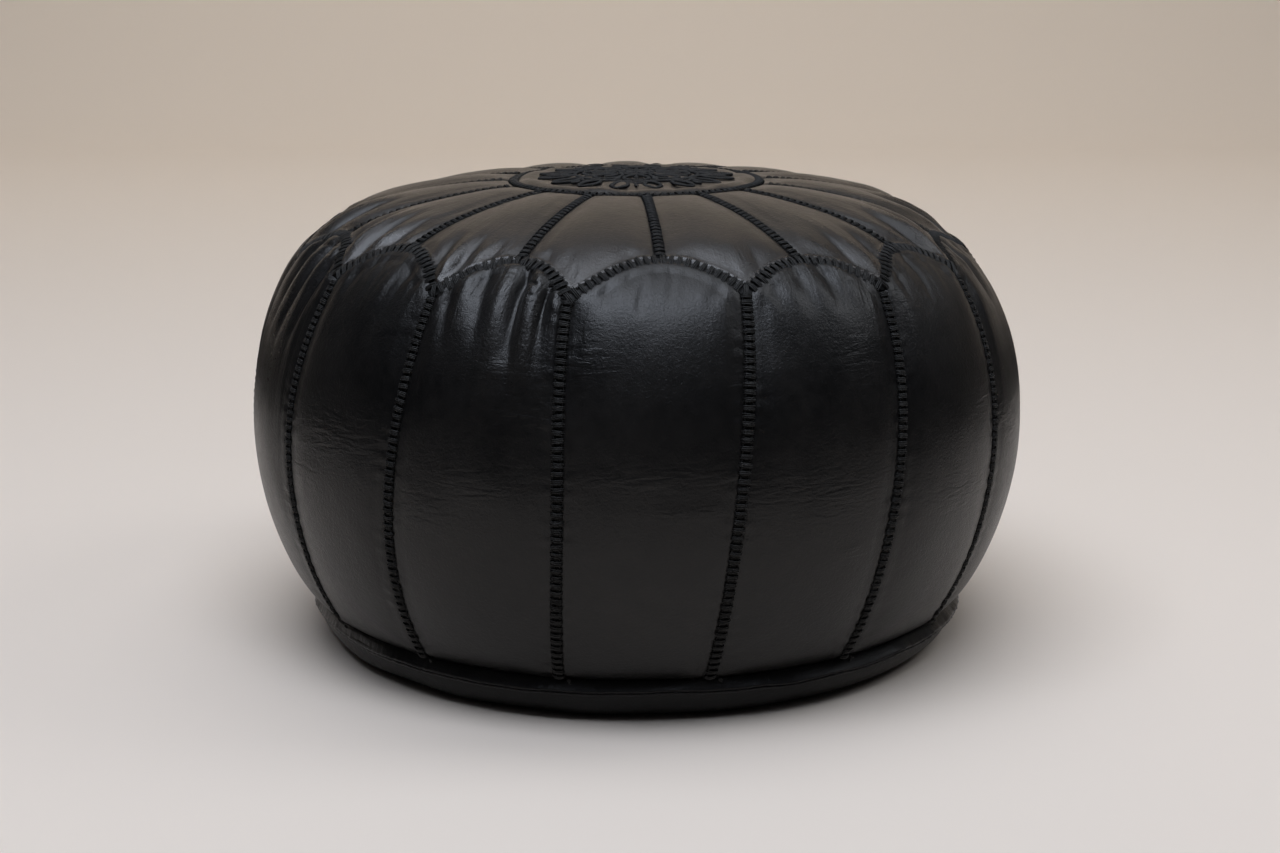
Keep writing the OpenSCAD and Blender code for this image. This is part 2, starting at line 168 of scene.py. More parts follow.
def arch(s):
    """Height m of the arched seam at seam coordinate s."""
    i = np.floor(s)
    t = 1 - np.abs(2 * (s - i) - 1)
    peak = ARCH_PEAK + PEAK[i.astype(int) % PANELS]
    foot = 1 + stray(VALLEY, s)
    return foot + (peak - foot) * (1 - (1 - t) ** ARCH_POWER)


def slump(a, m):
    turn = (a - SLUMP_ANGLE + math.pi) % (2 * math.pi) - math.pi
    return bulge(m, SLUMP_M, SLUMP_M_REACH, SLUMP_DEPTH) * bulge(turn, 0.0, SLUMP_ANGLE_REACH)


def around(rz, a):
    """Points [x, y, z] of [radius, height] rows at angles a."""
    return np.stack([rz[..., 0] * np.cos(a), rz[..., 0] * np.sin(a), rz[..., 1]], -1)


def cover(s, m, out=0.0):
    """Points on the cover, lifted off its outline by out."""
    a = seam_angle(s, m)
    return around(outline(m) + (np.asarray(out) - slump(a, m))[..., None] * outline_normal(m), a)


def cover_normal(s, m):
    return around(outline_normal(m), seam_angle(s, m))


# ---- meshes ----

def make_piece(name, points, faces, material, uv=None, **marks):
    """A mesh from points and lists of equal-sized faces. uv and marks give one value to each point."""
    mesh = bpy.data.meshes.new(name)
    faces = [np.asarray(f, np.int32) for f in faces if len(f)]
    loops = np.concatenate([f.ravel() for f in faces])
    counts = np.concatenate([np.full(len(f), f.shape[1]) for f in faces])
    mesh.vertices.add(len(points))
    mesh.vertices.foreach_set("co", np.asarray(points, np.float32).ravel())
    mesh.loops.add(len(loops))
    mesh.loops.foreach_set("vertex_index", loops)
    mesh.polygons.add(len(counts))
    mesh.polygons.foreach_set("loop_start", np.concatenate([[0], np.cumsum(counts)[:-1]]).astype(np.int32))
    mesh.update(calc_edges=True)
    mesh.polygons.foreach_set("use_smooth", np.full(len(counts), True))
    if uv is not None:
        layer = mesh.uv_layers.new(name="cut")
        layer.data.foreach_set("uv", np.asarray(uv, np.float32)[loops].ravel())
    for mark, values in marks.items():
        mesh.attributes.new(mark, "FLOAT", "POINT").data.foreach_set("value", np.asarray(values, np.float32))
    mesh.validate()
    mesh.materials.append(material)
    piece = bpy.data.objects.new(name, mesh)
    bpy.context.scene.collection.objects.link(piece)
    return piece


def grid_faces(rows, columns, first=0, wrap=False):
    """Quads of a grid of points, counter-clockwise when columns run right and rows run up."""
    last = columns if wrap else columns - 1
    j, i = np.meshgrid(np.arange(rows - 1), np.arange(last), indexing="ij")
    a = first + j * columns + i
    b = first + j * columns + (i + 1) % columns
    return np.stack([a, b, b + columns, a + columns], -1).reshape(-1, 4)


def end_faces(rows, columns):
    """The faces that close a tube of points at both ends."""
    return np.stack([np.arange(columns)[::-1], (rows - 1) * columns + np.arange(columns)])


def sheet_faces(rows, columns):
    """Faces of a closed sheet: an outer grid, an inner grid after it, and the rim between them."""
    depth = rows * columns
    outer = grid_faces(rows, columns)
    inner = grid_faces(rows, columns, depth)[:, ::-1]
    bottom = np.arange(columns)
    right = np.arange(rows) * columns + columns - 1
    top = (rows - 1) * columns + np.arange(columns)[::-1]
    left = (np.arange(rows) * columns)[::-1]
    loop = np.concatenate([bottom[:-1], right[:-1], top[:-1], left[:-1]])
    after = np.roll(loop, -1)
    rim = np.stack([after, loop, loop + depth, after + depth], -1)
    return [np.concatenate([outer, inner, rim])]


def unit(v):
    return v / np.maximum(np.linalg.norm(v, axis=-1, keepdims=True), 1e-12)


class Parts:
    """Gathers several sets of points and faces into one mesh, with a mark for each point."""

    def __init__(self):
        self.points, self.marks, self.quads, self.caps, self.total = [], [], [], {}, 0

    def add(self, points, quads, caps=(), mark=0.0):
        self.points.append(points)
        self.marks.append(np.broadcast_to(mark, len(points)))
        self.quads.append(np.asarray(quads) + self.total)
        if len(caps):
            self.caps.setdefault(np.asarray(caps).shape[1], []).append(np.asarray(caps) + self.total)
        self.total += len(points)

    def tubes(self, paths, ups, radii, sides, mark=0.0):
        """Add closed tubes along paths (count, steps, 3), with a mark for each step of each.

        ups are the directions that their height is measured in."""
        count, steps = paths.shape[:2]
        ahead = unit(np.gradient(paths, axis=1))
        side = unit(np.cross(ahead, ups))
        up = np.cross(side, ahead)
        radii = np.broadcast_to(radii, (count, steps))[..., None, None]
        turn = circle(sides)
        ring = turn[:, :1] * side[:, :, None] + turn[:, 1:] * up[:, :, None]
        shift = (np.arange(count) * steps * sides)[:, None, None]
        walls = (grid_faces(steps, sides, wrap=True) + shift).reshape(-1, 4)
        ends = (end_faces(steps, sides) + shift).reshape(-1, sides)
        marks = np.repeat(np.broadcast_to(mark, (count, steps)).ravel(), sides)
        self.add((paths[:, :, None] + radii * ring).reshape(-1, 3), walls, ends, marks)

    def piece(self, name, material, mark="fade_and_painted_light", **extra):
        faces = [np.concatenate(self.quads)] + [np.concatenate(c) for c in self.caps.values()]
        extra[mark] = np.concatenate(self.marks)
        return make_piece(name, np.concatenate(self.points), faces, material, **extra)


def waves(p, seed, length):
    """Smooth noise of about unit height over points p, with features about length across."""
    r, count = np.random.default_rng(seed), 14
    k = unit(r.normal(size=(count, p.shape[-1]))) * (2 * math.pi / length) * r.uniform(0.6, 1.5, (count, 1))
    phase = r.uniform(0, 2 * math.pi, count)
    total = np.zeros(p.shape[:-1])
    for wave, offset in zip(k, phase):
        total += np.sin(p @ wave + offset)
    return total * math.sqrt(2 / count)


# ---- materials ----

def feed(tree, n, inputs):
    """Give each input of a node a value, or a link where the value is a socket."""
    for key, value in dict(inputs).items():
        if isinstance(value, bpy.types.NodeSocket):
            tree.links.new(value, n.inputs[key])
        else:
            n.inputs[key].default_value = value


def node(tree, kind, inputs=(), **settings):
    n = tree.nodes.new(kind)
    for key, value in settings.items():
        setattr(n, key, value)
    feed(tree, n, inputs)
    return n


def object_place(tree):
    return node(tree, "ShaderNodeTexCoord").outputs["Object"]


def mark_of(tree, name):
    return node(tree, "ShaderNodeAttribute", attribute_name=name).outputs["Fac"]


def ramp(tree, value, stops):
    n = node(tree, "ShaderNodeValToRGB", {"Fac": value})
    while len(n.color_ramp.elements) < len(stops):
        n.color_ramp.elements.new(0.5)
    for element, (place, colour) in zip(n.color_ramp.elements, stops):
        element.position = place
        element.color = (*colour, 1) if hasattr(colour, "__len__") else (colour, colour, colour, 1)
    return n.outputs["Color"]


def maths(tree, operation, a, b=0.0, c=0.0):
    return node(tree, "ShaderNodeMath", {0: a, 1: b, 2: c}, operation=operation).outputs[0]


def noise(tree, vector, scale, detail=2.0, rough=0.5, distortion=0.0):
    n = node(tree, "ShaderNodeTexNoise",
             {"Vector": vector, "Scale": scale, "Detail": detail, "Roughness": rough, "Distortion": distortion})
    return n.outputs["Fac"]


def bump(tree, height, distance, normal=None, strength=1.0):
    inputs = {"Height": height, "Distance": distance, "Strength": strength}
    if normal is not None:
        inputs["Normal"] = normal
    return node(tree, "ShaderNodeBump", inputs).outputs["Normal"]


def new_material(name):
    m = bpy.data.materials.new(name)
    m.use_nodes = True
    tree = m.node_tree
    return m, tree, tree.nodes["Principled BSDF"]


def leather(name, dark, light, rough=0.32, shine=0.30):
    """Smooth dyed goat leather: cloudy dye, soft grain, fine pores, creases where the marks ask for them, and a painted
    highlight where its mark is high.
    """
    m, tree, shader = new_material(name)
    place, rub_and_highlight = object_place(tree), mark_of(tree, "rub_and_highlight")
    cut = node(tree, "ShaderNodeUVMap", uv_map="cut").outputs["UV"]
    cloud, mottle = noise(tree, place, 13, 4, 0.6, 0.8), noise(tree, place, 170, 3, 0.6, 0.3)
    tone = maths(tree, "MULTIPLY_ADD", mottle, 0.30, cloud)
    # Painted highlight: the tone is lighter where the mark read above is high, on crests, rolls and edges
    tone = maths(tree, "MULTIPLY_ADD", rub_and_highlight, 0.35, tone)
    rougher = maths(tree, "MULTIPLY_ADD", mottle, 0.14, rough - 0.10)
    rougher = maths(tree, "MULTIPLY_ADD", cloud, 0.10, rougher)
    rougher = maths(tree, "MULTIPLY_ADD", rub_and_highlight, -0.07, rougher)
    # Shallow wrinkles, then creases across the panel and along it where the marks are, then grain and pores
    normal = bump(tree, noise(tree, place, 95, 3, 0.5, 0.6), 0.0007, strength=0.28)
    for way, scale, strength in (("across", (62, 300, 1), 0.65), ("along", (330, 26, 1), 0.55)):
        drawn_out = node(tree, "ShaderNodeMapping", {"Vector": cut, "Scale": scale}).outputs[0]
        lines = maths(tree, "MULTIPLY", noise(tree, drawn_out, 1.0, 3, 0.55, 0.5), mark_of(tree, way))
        normal = bump(tree, lines, 0.0016, normal, strength)
    normal = bump(tree, noise(tree, place, 560, 3, 0.65, 0.5), 0.0005, normal, 0.55)
    pores = node(tree, "ShaderNodeTexVoronoi", {"Vector": place, "Scale": 1500.0}).outputs["Distance"]
    feed(tree, shader, {
        "Base Color": ramp(tree, tone, [(0.50, dark), (0.95, light)]), "Roughness": rougher,
        "Normal": bump(tree, pores, 0.00012, normal, 0.4), "Specular IOR Level": shine})
    return m


def thread(name, dark, light, rough=0.55):
    """Twisted thread, lighter where its mark is high, with a faint sheen. The mark holds real fading and painted light:
    near black where it is low as painted shade, lighter on raised parts as painted highlight.
    """
    m, tree, shader = new_material(name)
    place = object_place(tree)
    strands = noise(tree, place, 2600, 2, 0.6)
    tone = maths(tree, "MULTIPLY_ADD", noise(tree, place, 800, 3, 0.7), 0.5, mark_of(tree, "fade_and_painted_light"))
    feed(tree, shader, {
        "Base Color": ramp(tree, tone, [(0.10, 0.0012), (0.45, dark), (0.885, light)]),
        "Normal": bump(tree, strands, 0.0003, strength=0.7),
        "Roughness": ramp(tree, strands, [(0.3, rough - 0.06), (0.8, rough + 0.12)]),
        "Specular IOR Level": 0.3, "Sheen Weight": 0.05, "Sheen Roughness": 0.4})
    return m


def fabric(name, dark, light, pitch, rough=0.9):
    """Plain weave cloth, with its threads pitch apart."""
    m, tree, shader = new_material(name)
    place = object_place(tree)
    waves_in = {"Vector": place, "Scale": 0.31 / pitch, "Distortion": 0.6}
    weave = maths(tree, "MAXIMUM", *(
        node(tree, "ShaderNodeTexWave", waves_in, bands_direction=way).outputs["Fac"] for way in "XY"))
    feed(tree, shader, {
        "Base Color": ramp(tree, noise(tree, place, 90, 4, 0.6), [(0.35, dark), (0.7, light)]),
        "Normal": bump(tree, weave, pitch * 0.4, strength=0.8),
        "Roughness": ramp(tree, weave, [(0.2, rough), (0.9, rough - 0.2)]), "Sheen Weight": 0.2})
    return m


def enamel(name, dark, worn, metallic, rough):
    """Enamelled metal or plastic, rubbed where it is handled."""
    m, tree, shader = new_material(name)
    place = object_place(tree)
    rub_and_highlight = noise(tree, place, 240, 4, 0.7)
    feed(tree, shader, {
        "Base Color": ramp(tree, rub_and_highlight, [(0.55, dark), (0.72, worn)]),
        "Roughness": ramp(tree, rub_and_highlight, [(0.4, rough), (0.75, rough - 0.12)]),
        "Normal": bump(tree, noise(tree, place, 900, 2), 0.0001, strength=0.4), "Metallic": metallic})
    return m


# The crown's copy of the leather is lighter and warmer than the sides' as painted reflection of the warm backdrop, and
# the base's copy is darker as painted shade
SIDE_LEATHER = leather("side_leather", (0.0035, 0.0034, 0.0036), (0.0105, 0.0098, 0.0094))
CROWN_LEATHER_PAINTED_REFLECTION = leather("crown_leather", (0.0045, 0.0040, 0.0038), (0.0150, 0.0125, 0.0110), 0.31, 0.46)
BASE_LEATHER_PAINTED_SHADE = leather("base_leather", (0.0028, 0.0028, 0.0031), (0.0075, 0.0073, 0.0076), 0.36, 0.24)
THREAD = thread("seam_thread", (0.0024, 0.0024, 0.0023), (0.0125, 0.0122, 0.0116))
EMBROIDERY = thread("embroidery_thread", (0.0030, 0.0030, 0.0030), (0.012, 0.0115, 0.011), 0.5)
TAPE = fabric("zip_tape", (0.006, 0.006, 0.006), (0.014, 0.014, 0.014), 0.0007)
LINER = fabric("liner_cloth", (0.50, 0.46, 0.38), (0.68, 0.64, 0.55), 0.0009)
STUFFING = fabric("stuffing_fibre", (0.55, 0.50, 0.42), (0.80, 0.76, 0.68), 0.002, 0.95)
TEETH = enamel("zip_teeth", (0.012, 0.012, 0.012), (0.03, 0.03, 0.03), 0.0, 0.45)
METAL = enamel("zip_metal", (0.02, 0.02, 0.021), (0.30, 0.29, 0.27), 0.9, 0.38)


def finish_piece(piece, name):
    """The piece stands for the CAD's node name and rides on the cover."""
    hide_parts(name)
    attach(piece, "cover")


# ---- leather ----

LEATHER_T = 0.0016
PANEL_TURN = math.radians(STEP)
# How much of the step between two seams the leather covers, and how far in m it ends from the arches and the ring
SIDE_REACH, ARCH_REACH, ARCH_GAP, PETAL_END = 0.496, 0.499, 0.004, 1.995
# The cover's radius about where the folds of panels and of petals start
SIDE_TOP_R, PETAL_FOOT_R = 0.2264, 0.215
ACROSS = np.linspace(-1, 1, 201)
SIDE_PUFF, PETAL_PUFF = 0.0012, 0.0024
# How far from their seam these lie: the ridge under a panel's arch, the roll round a petal's foot, and the puckers
RIDGE_IN, ROLL_IN, PUCKER_IN = 0.0085, 0.0052, 0.0055
VALLEY_DEPTH, VALLEY_W = 0.0015, 0.0034
SIDE_GRID, PETAL_GRID = (72, 164), (62, 96)
CLOTH_SIDE_GRID, CLOTH_PETAL_GRID = (33, 76), (29, 40)
# The cloth simulation: its length, the most that it may move the leather, in metres, and Blender's settings
CLOTH_FRAMES, CLOTH_CAP = 20, 0.0055
CLOTH = {
    "quality": 4, "mass": 0.001, "tension_stiffness": 12, "compression_stiffness": 12, "shear_stiffness": 6,
    "bending_stiffness": 3, "tension_damping": 0.3, "compression_damping": 0.3, "air_damping": 0.1,
    "use_pressure": True, "uniform_pressure_force": 160, "vertex_group_mass": "pins",
    "vertex_group_shrink": "ease", "shrink_min": 0.0, "shrink_max": -0.065,
}


def edge_dip(d):
    """How the leather dives under a stitched band, at a distance d from the seam."""
    return bulge(d, 0.0, VALLEY_W, -VALLEY_DEPTH)


def arch_lean(s):
    """Cosine of the slope of the arched seam at seam coordinate s, to turn height above it into distance."""
    step = 0.004
    climb = run_of(arch(s + step)) - run_of(arch(s - step))
    wide = outline(arch(s))[..., 0] * PANEL_TURN * 2 * step
    return 1 / np.hypot(1, climb / wide)


def pleat(x, y, start, lean, length, width, depth, way):
    """A fold that runs from a seam and fades out: a sharp valley between two soft ridges."""
    a = math.radians(lean)
    dx, dy = x - start[0], (y - start[1]) * way
    along = (dx * math.sin(a) + dy * math.cos(a)) / length
    across = dx * math.cos(a) - dy * math.sin(a)
    reach = np.clip(along, 0, 1)
    w = width * (0.8 + 0.9 * reach)
    fade = np.where((along > -0.3) & (along < 1), np.cos(reach * math.pi / 2) ** 1.2, 0)
    valley = (1 + (across / w) ** 2) ** -1.5
    ridges = np.exp(-((np.abs(across) - 2.4 * w) / (1.3 * w)) ** 2)
    return depth * fade * (0.5 * ridges - valley), depth / 0.003 * fade * ridges


# The folds in view: place across the panel from -1 to 1, lean in degrees, length, width and depth
SIDE_FOLDS = {
    0: [(-0.84, 25, 0.016, 0.0016, 0.0005), (-0.66, 30, 0.018, 0.0016, 0.0004), (0.9, -8, 0.02, 0.002, 0.0005)],
    1: [(-0.66, 4, 0.036, 0.0036, 0.0010), (-0.25, 10, 0.040, 0.0036, 0.0012), (0.12, 16, 0.050, 0.0040, 0.0016),
        (0.52, 32, 0.070, 0.0036, 0.0022)],
    2: [(-0.1, 6, 0.05, 0.0050, 0.0008)],
    PANELS - 1: [(-0.80, 12, 0.075, 0.0050, 0.0022), (-0.36, 11, 0.075, 0.0050, 0.0018),
                 (0.21, 9, 0.120, 0.0046, 0.0046), (0.66, 7, 0.120, 0.0046, 0.0050)],
    PANELS - 2: [(0.35, 6, 0.06, 0.0050, 0.0010)],
    PANELS - 3: [(-0.35, 4, 0.16, 0.0060, 0.0030), (0.15, 3, 0.18, 0.0060, 0.0034), (0.62, 2, 0.17, 0.0055, 0.0034)],
}
SIDE_SLACK = {0: 0.08, 1: 0.35, 2: 0.12, PANELS - 1: 0.30, PANELS - 2: 0.12, PANELS - 3: 0.3}
PETAL_FOLDS = {
    0: [(-0.55, 6, 0.030, 0.0032, 0.0008), (0.55, -8, 0.030, 0.0032, 0.0008)],
    1: [(-0.45, 4, 0.040, 0.0034, 0.0009), (0.30, 0, 0.050, 0.0040, 0.0010)],
    2: [(-0.20, 0, 0.070, 0.0046, 0.0018), (0.35, -4, 0.085, 0.0046, 0.0020)],
    3: [(-0.30, 2, 0.100, 0.0050, 0.0028), (0.30, -2, 0.110, 0.0050, 0.0034)],
    4: [(-0.10, 2, 0.120, 0.0055, 0.0040), (0.50, -3, 0.100, 0.0050, 0.0030)],
    PANELS - 3: [(-0.30, 4, 0.110, 0.0050, 0.0034), (0.35, -3, 0.100, 0.0048, 0.0030)],
    PANELS - 2: [(-0.45, 6, 0.100, 0.0044, 0.0028), (0.05, 4, 0.115, 0.0050, 0.0036), (0.50, 0, 0.090, 0.0046, 0.0028)],
    PANELS - 1: [(-0.25, 8, 0.065, 0.0042, 0.0026), (0.12, 6, 0.080, 0.0042, 0.0030), (0.50, 2, 0.055, 0.0038, 0.0018)],
}
PETAL_SLACK = {0: 0.12, 1: 0.15, 2: 0.25, 3: 0.35, 4: 0.4, PANELS - 1: 0.5, PANELS - 2: 0.6, PANELS - 3: 0.6}
# Patches of fine creases: place across, height m, half width and half height of each
SIDE_CREASES = {
    0: [(-0.75, 0.85, 0.35, 0.05), (0.0, 0.585, 1.0, 0.03), (0.95, 0.80, 0.2, 0.03), (0.4, 0.50, 0.4, 0.02)],
    2: [(-0.7, 0.97, 0.3, 0.04), (0.1, 0.45, 0.7, 0.05), (0.6, 0.7, 0.4, 0.05)],
    PANELS - 2: [(0.1, 0.62, 0.8, 0.06), (-0.6, 0.5, 0.4, 0.04)],
}
# The other pieces' folds: seed, most of them plus one, least slack, how far across they lie and stray, how much they
# fan out and lean in degrees, and the ranges of their length, width and depth
SIDE_FOLD_RANGES = (100, 6, 0.4, 0.75, 0.15, 10, 7, (0.04, 0.13), (0.0040, 0.0056), (0.0012, 0.0042))
PETAL_FOLD_RANGES = (500, 5, 0.5, 0.50, 0.12, -6, 5, (0.05, 0.11), (0.0040, 0.0054), (0.0012, 0.0036))


def folds_of(i, known, ranges):
    if i in known:
        return known[i]
    seed, most, least, reach, astray, fan, lean, length, width, depth = ranges
    r = np.random.default_rng(seed + i)
    count, slack = int(r.integers(2, most)), r.uniform(least, 1.0)
    places = np.linspace(-reach, reach, count) + r.uniform(-astray, astray, count)
    return [(p, fan * p + r.uniform(-lean, lean), r.uniform(*length), r.uniform(*width),
             slack * r.uniform(*depth)) for p in places]


def patches(u, m, creases):
    """How creased the leather is where patches of creases lie."""
    total = np.zeros_like(u)
    for pu, pm, ru, rm in creases:
        total = np.maximum(total, bulge(u, pu, ru) * bulge(m, pm, rm))
    return total


def gather(out, x, y, seam_y, radius, folds, way, *opened):
    """Add the folds that start from an arched seam to out, and return where they crest.

    seam_y is the seam's place along y at ACROSS, and each of opened holds the folds back near a seam."""
    ridge = np.zeros_like(out)
    for place, lean, length, width, depth in folds:
        start = (place * radius * PANEL_TURN / 2, np.interp(place, ACROSS, seam_y))
        fold, crest = pleat(x, y, start, lean, length, width, depth, way)
        for share in opened:
            fold, crest = fold * share, crest * share
        out += fold
        ridge += crest
    return ridge


def side_shape(i, uu, vv):
    """The leather of side panel i on a grid of u, from -1 to 1 across, and v, from 0 to 1 up."""
    r = np.random.default_rng(300 + i)
    middle = i + 0.5
    s = middle + uu * SIDE_REACH
    top = arch(middle + uu * ARCH_REACH) - ARCH_GAP
    m = -TUCK_M + (top + TUCK_M) * vv
    half = outline(m)[..., 0] * PANEL_TURN / 2
    x, y = uu * half, run_of(m) + np.minimum(m, 0) * 0.1
    to_side, to_base = (1 - np.abs(uu)) * half, np.maximum(y, 0)
    to_top = (run_of(top) - y) * arch_lean(middle + uu * 0.49) + 0.002
    swell = (1 - np.abs(uu) ** 2.0) * (1 - np.exp(-to_top / 0.013)) * (1 - np.exp(-to_base / 0.012))
    out = SIDE_PUFF * r.uniform(0.85, 1.2) * swell
    out += edge_dip(to_side) + edge_dip(to_top)
    out += bulge(to_top, RIDGE_IN, 0.0055, 0.0010) * rise(to_side, 0.01)
    out += bulge(to_base, 0.0, 0.003, -0.0016)
    seam_y = run_of(arch(middle + ACROSS * ARCH_REACH) - ARCH_GAP)
    ridge = gather(out, x, y, seam_y, SIDE_TOP_R, folds_of(i, SIDE_FOLDS, SIDE_FOLD_RANGES), -1,
                   rise(to_side, 0.008), rise(to_top - 0.003, 0.012) ** 0.8)
    calm = rise(to_side, 0.02) * rise(to_top, 0.02) * rise(to_base, 0.02)
    p = cover(s, m)
    out += calm * (0.0004 * waves(p, 11 + i, 0.08) + 0.00014 * waves(p, 51 + i, 0.024))
    # Puckers where the stitches pull at the leather
    pull = bulge(to_side, PUCKER_IN, 0.004) * np.clip(0.5 + waves(p[..., 2:], 5 + i, 0.05), 0, 1)
    out += 0.00030 * pull * np.sin(y * 2 * math.pi / 0.0098 + 3 * uu)
    creases = SIDE_CREASES.get(i) or [
        (r.uniform(-1, 1), r.uniform(0.3, 1.0), r.uniform(0.2, 0.7), r.uniform(0.02, 0.06)) for _ in range(4)]
    marks = {
        "across": np.clip(0.65 * patches(uu, m, creases) + 0.03, 0, 1),
        "along": np.clip(np.exp(-to_top / 0.05) * (0.25 + 0.75 * np.clip(ridge * 1.5, 0, 1)) + 0.4 * pull, 0, 1),
        # Painted highlight on the fold crests and along the ridge under the arch
        "rub_and_highlight": np.clip(0.6 * ridge + bulge(to_top, RIDGE_IN, 0.0045, 0.5), 0, 1),
    }
    slack = np.clip(0.95 * np.exp(-to_top / 0.05) + 0.35 * np.exp(-to_side / 0.02), 0, 1)
    slack = slack * SIDE_SLACK.get(i, r.uniform(0.3, 0.7))
    return s, m, out, np.stack([x, y], -1), marks, slack, np.minimum(to_side, to_top)


def petal_shape(i, uu, vv):
    """The leather of crown petal i on a grid of u, from -1 to 1 across, and v, from 0 to 1 inward."""
    r = np.random.default_rng(700 + i)
    s = i + uu * SIDE_REACH
    foot = arch(i + uu * ARCH_REACH) + ARCH_GAP
    m = foot + (PETAL_END - foot) * vv
    half = outline(m)[..., 0] * PANEL_TURN / 2
    x, y = uu * half, run_of(m)
    to_side, to_ring = (1 - np.abs(uu)) * half, run_of(PETAL_END) - y
    to_foot = (y - run_of(foot)) * arch_lean(i + uu * 0.49) + 0.002
    swell = (1 - np.abs(uu) ** 2.2) * (1 - np.exp(-(to_foot / 0.012) ** 1.6)) * (1 - np.exp(-to_ring / 0.02))
    out = PETAL_PUFF * r.uniform(0.85, 1.2) * swell
    out += edge_dip(to_side) + edge_dip(to_foot) + edge_dip(to_ring)
    # The folded edge of the leather stands up as a tight roll along the arches
    out += bulge(to_foot, ROLL_IN, 0.0016, 0.0006) * rise(to_side, 0.004)
    seam_y = run_of(arch(i + ACROSS * ARCH_REACH) + ARCH_GAP)
    ridge = gather(out, x, y, seam_y, PETAL_FOOT_R, folds_of(i, PETAL_FOLDS, PETAL_FOLD_RANGES), 1,
                   rise(to_side, 0.008), rise(to_foot - 0.003, 0.010) ** 0.8)
    calm = rise(to_side, 0.015) * rise(to_foot, 0.02) * rise(to_ring, 0.02)
    p = cover(s, m)
    out += calm * (0.0003 * waves(p, 211 + i, 0.06) + 0.00010 * waves(p, 251 + i, 0.02))
    marks = {
        "across": np.clip(0.06 + 0.3 * np.exp(-to_side / 0.006), 0, 1),
        "along": np.clip(0.15 + 0.5 * ridge, 0, 1),
        # Painted highlight on the fold crests, along the roll at the foot, and in a broad band about 12 mm above the
        # foot
        "rub_and_highlight": np.clip(0.6 * ridge + bulge(to_foot, ROLL_IN, 0.0018, 0.8) + bulge(to_foot, 0.012, 0.006, 0.4), 0, 1),
    }
    slack = np.clip(0.9 * np.exp(-to_foot / 0.04) + 0.3 * np.exp(-to_side / 0.015), 0, 1)
    slack = slack * PETAL_SLACK.get(i, r.uniform(0.3, 0.7))
    return s, m, out, np.stack([x, y], -1), marks, slack, np.minimum(np.minimum(to_side, to_foot), to_ring)


def crowded(count, low, high):
    """Values from low to high, closer together near both ends."""
    t = np.linspace(-1, 1, count)
    t = np.sin(t * math.pi / 2 * 0.94) / math.sin(math.pi / 2 * 0.94)
    return low + (high - low) * (t + 1) / 2


LEATHER_KINDS = {"side_panel": ("side_leather", SIDE_LEATHER), "crown_petal": ("crown_leather", CROWN_LEATHER_PAINTED_REFLECTION)}
# Kind, number, shape, and the points of its fine grid and of the cloth's coarse one
LEATHERS = [("side_panel", i, side_shape, SIDE_GRID, CLOTH_SIDE_GRID) for i in range(PANELS)]
LEATHERS += [("crown_petal", i, petal_shape, PETAL_GRID, CLOTH_PETAL_GRID) for i in range(PANELS)]


def fill_out():
    """How far the stuffing's pressure moves the leather: one cloth simulation of every panel and petal.

    The seams are pinned, and the leather has some slack near them, which goes into puckers and folds."""
    points, quads, slack, pinned, ends = [], [], [], [], [0]
    for _, i, shape, _, (columns, rows) in LEATHERS:
        uu, vv = np.meshgrid(np.linspace(-1, 1, columns), np.linspace(0, 1, rows))
        s, m, out, _, _, loose, _ = shape(i, uu, vv)
        points.append(cover(s, m, out).reshape(-1, 3))
        quads.append(grid_faces(rows, columns, ends[-1]))
        pinned.append(((np.abs(uu) == 1) | (vv % 1 == 0)).ravel())
        slack.append(loose.ravel())
        ends.append(ends[-1] + rows * columns)
    start, pinned, slack = np.concatenate(points), np.concatenate(pinned), np.concatenate(slack)
    cloth = make_piece("cloth_stage", start, [np.concatenate(quads)], SIDE_LEATHER)
    cloth.vertex_groups.new(name="pins").add(np.flatnonzero(pinned).tolist(), 1.0, "REPLACE")
    ease = cloth.vertex_groups.new(name="ease")
    for level in range(1, 11):
        ease.add(np.flatnonzero(np.round(slack * 10) == level).tolist(), level / 10, "REPLACE")
    modifier = cloth.modifiers.new("cloth", "CLOTH")
    for key, value in CLOTH.items():
        setattr(modifier.settings, key, value)
    modifier.settings.effector_weights.gravity = 0
    modifier.collision_settings.use_collision = False
    modifier.point_cache.frame_start, modifier.point_cache.frame_end = 1, CLOTH_FRAMES
    scene = bpy.context.scene
    for frame_number in range(1, CLOTH_FRAMES + 1):
        scene.frame_set(frame_number)
    settled = cloth.evaluated_get(bpy.context.evaluated_depsgraph_get())
    end = np.empty(len(start) * 3, np.float32)
    settled.data.vertices.foreach_get("co", end)
    scene.frame_set(1)
    bpy.data.objects.remove(cloth)
    moved = end.reshape(-1, 3) - start
    moved *= np.minimum(1, CLOTH_CAP / np.maximum(np.linalg.norm(moved, axis=1, keepdims=True), 1e-9))
    return [part.reshape(rows, columns, 3)
            for part, (*_, (columns, rows)) in zip(np.split(moved, ends[1:-1]), LEATHERS)]


def spread(values, places):
    """Weights that read a row of evenly spaced values, from place 0 to 1, at other places (Catmull-Rom)."""
    at = places * (values - 1)
    i = np.clip(np.floor(at).astype(int), 0, values - 2)
    t = at - i
    weights = np.zeros((len(places), values))
    cubic = (-0.5 * t + t ** 2 - 0.5 * t ** 3, 1 - 2.5 * t ** 2 + 1.5 * t ** 3,
             0.5 * t + 2 * t ** 2 - 1.5 * t ** 3, -0.5 * t ** 2 + 0.5 * t ** 3)
    for k, w in zip((-1, 0, 1, 2), cubic):
        np.add.at(weights, (np.arange(len(places)), np.clip(i + k, 0, values - 1)), w)
    return weights


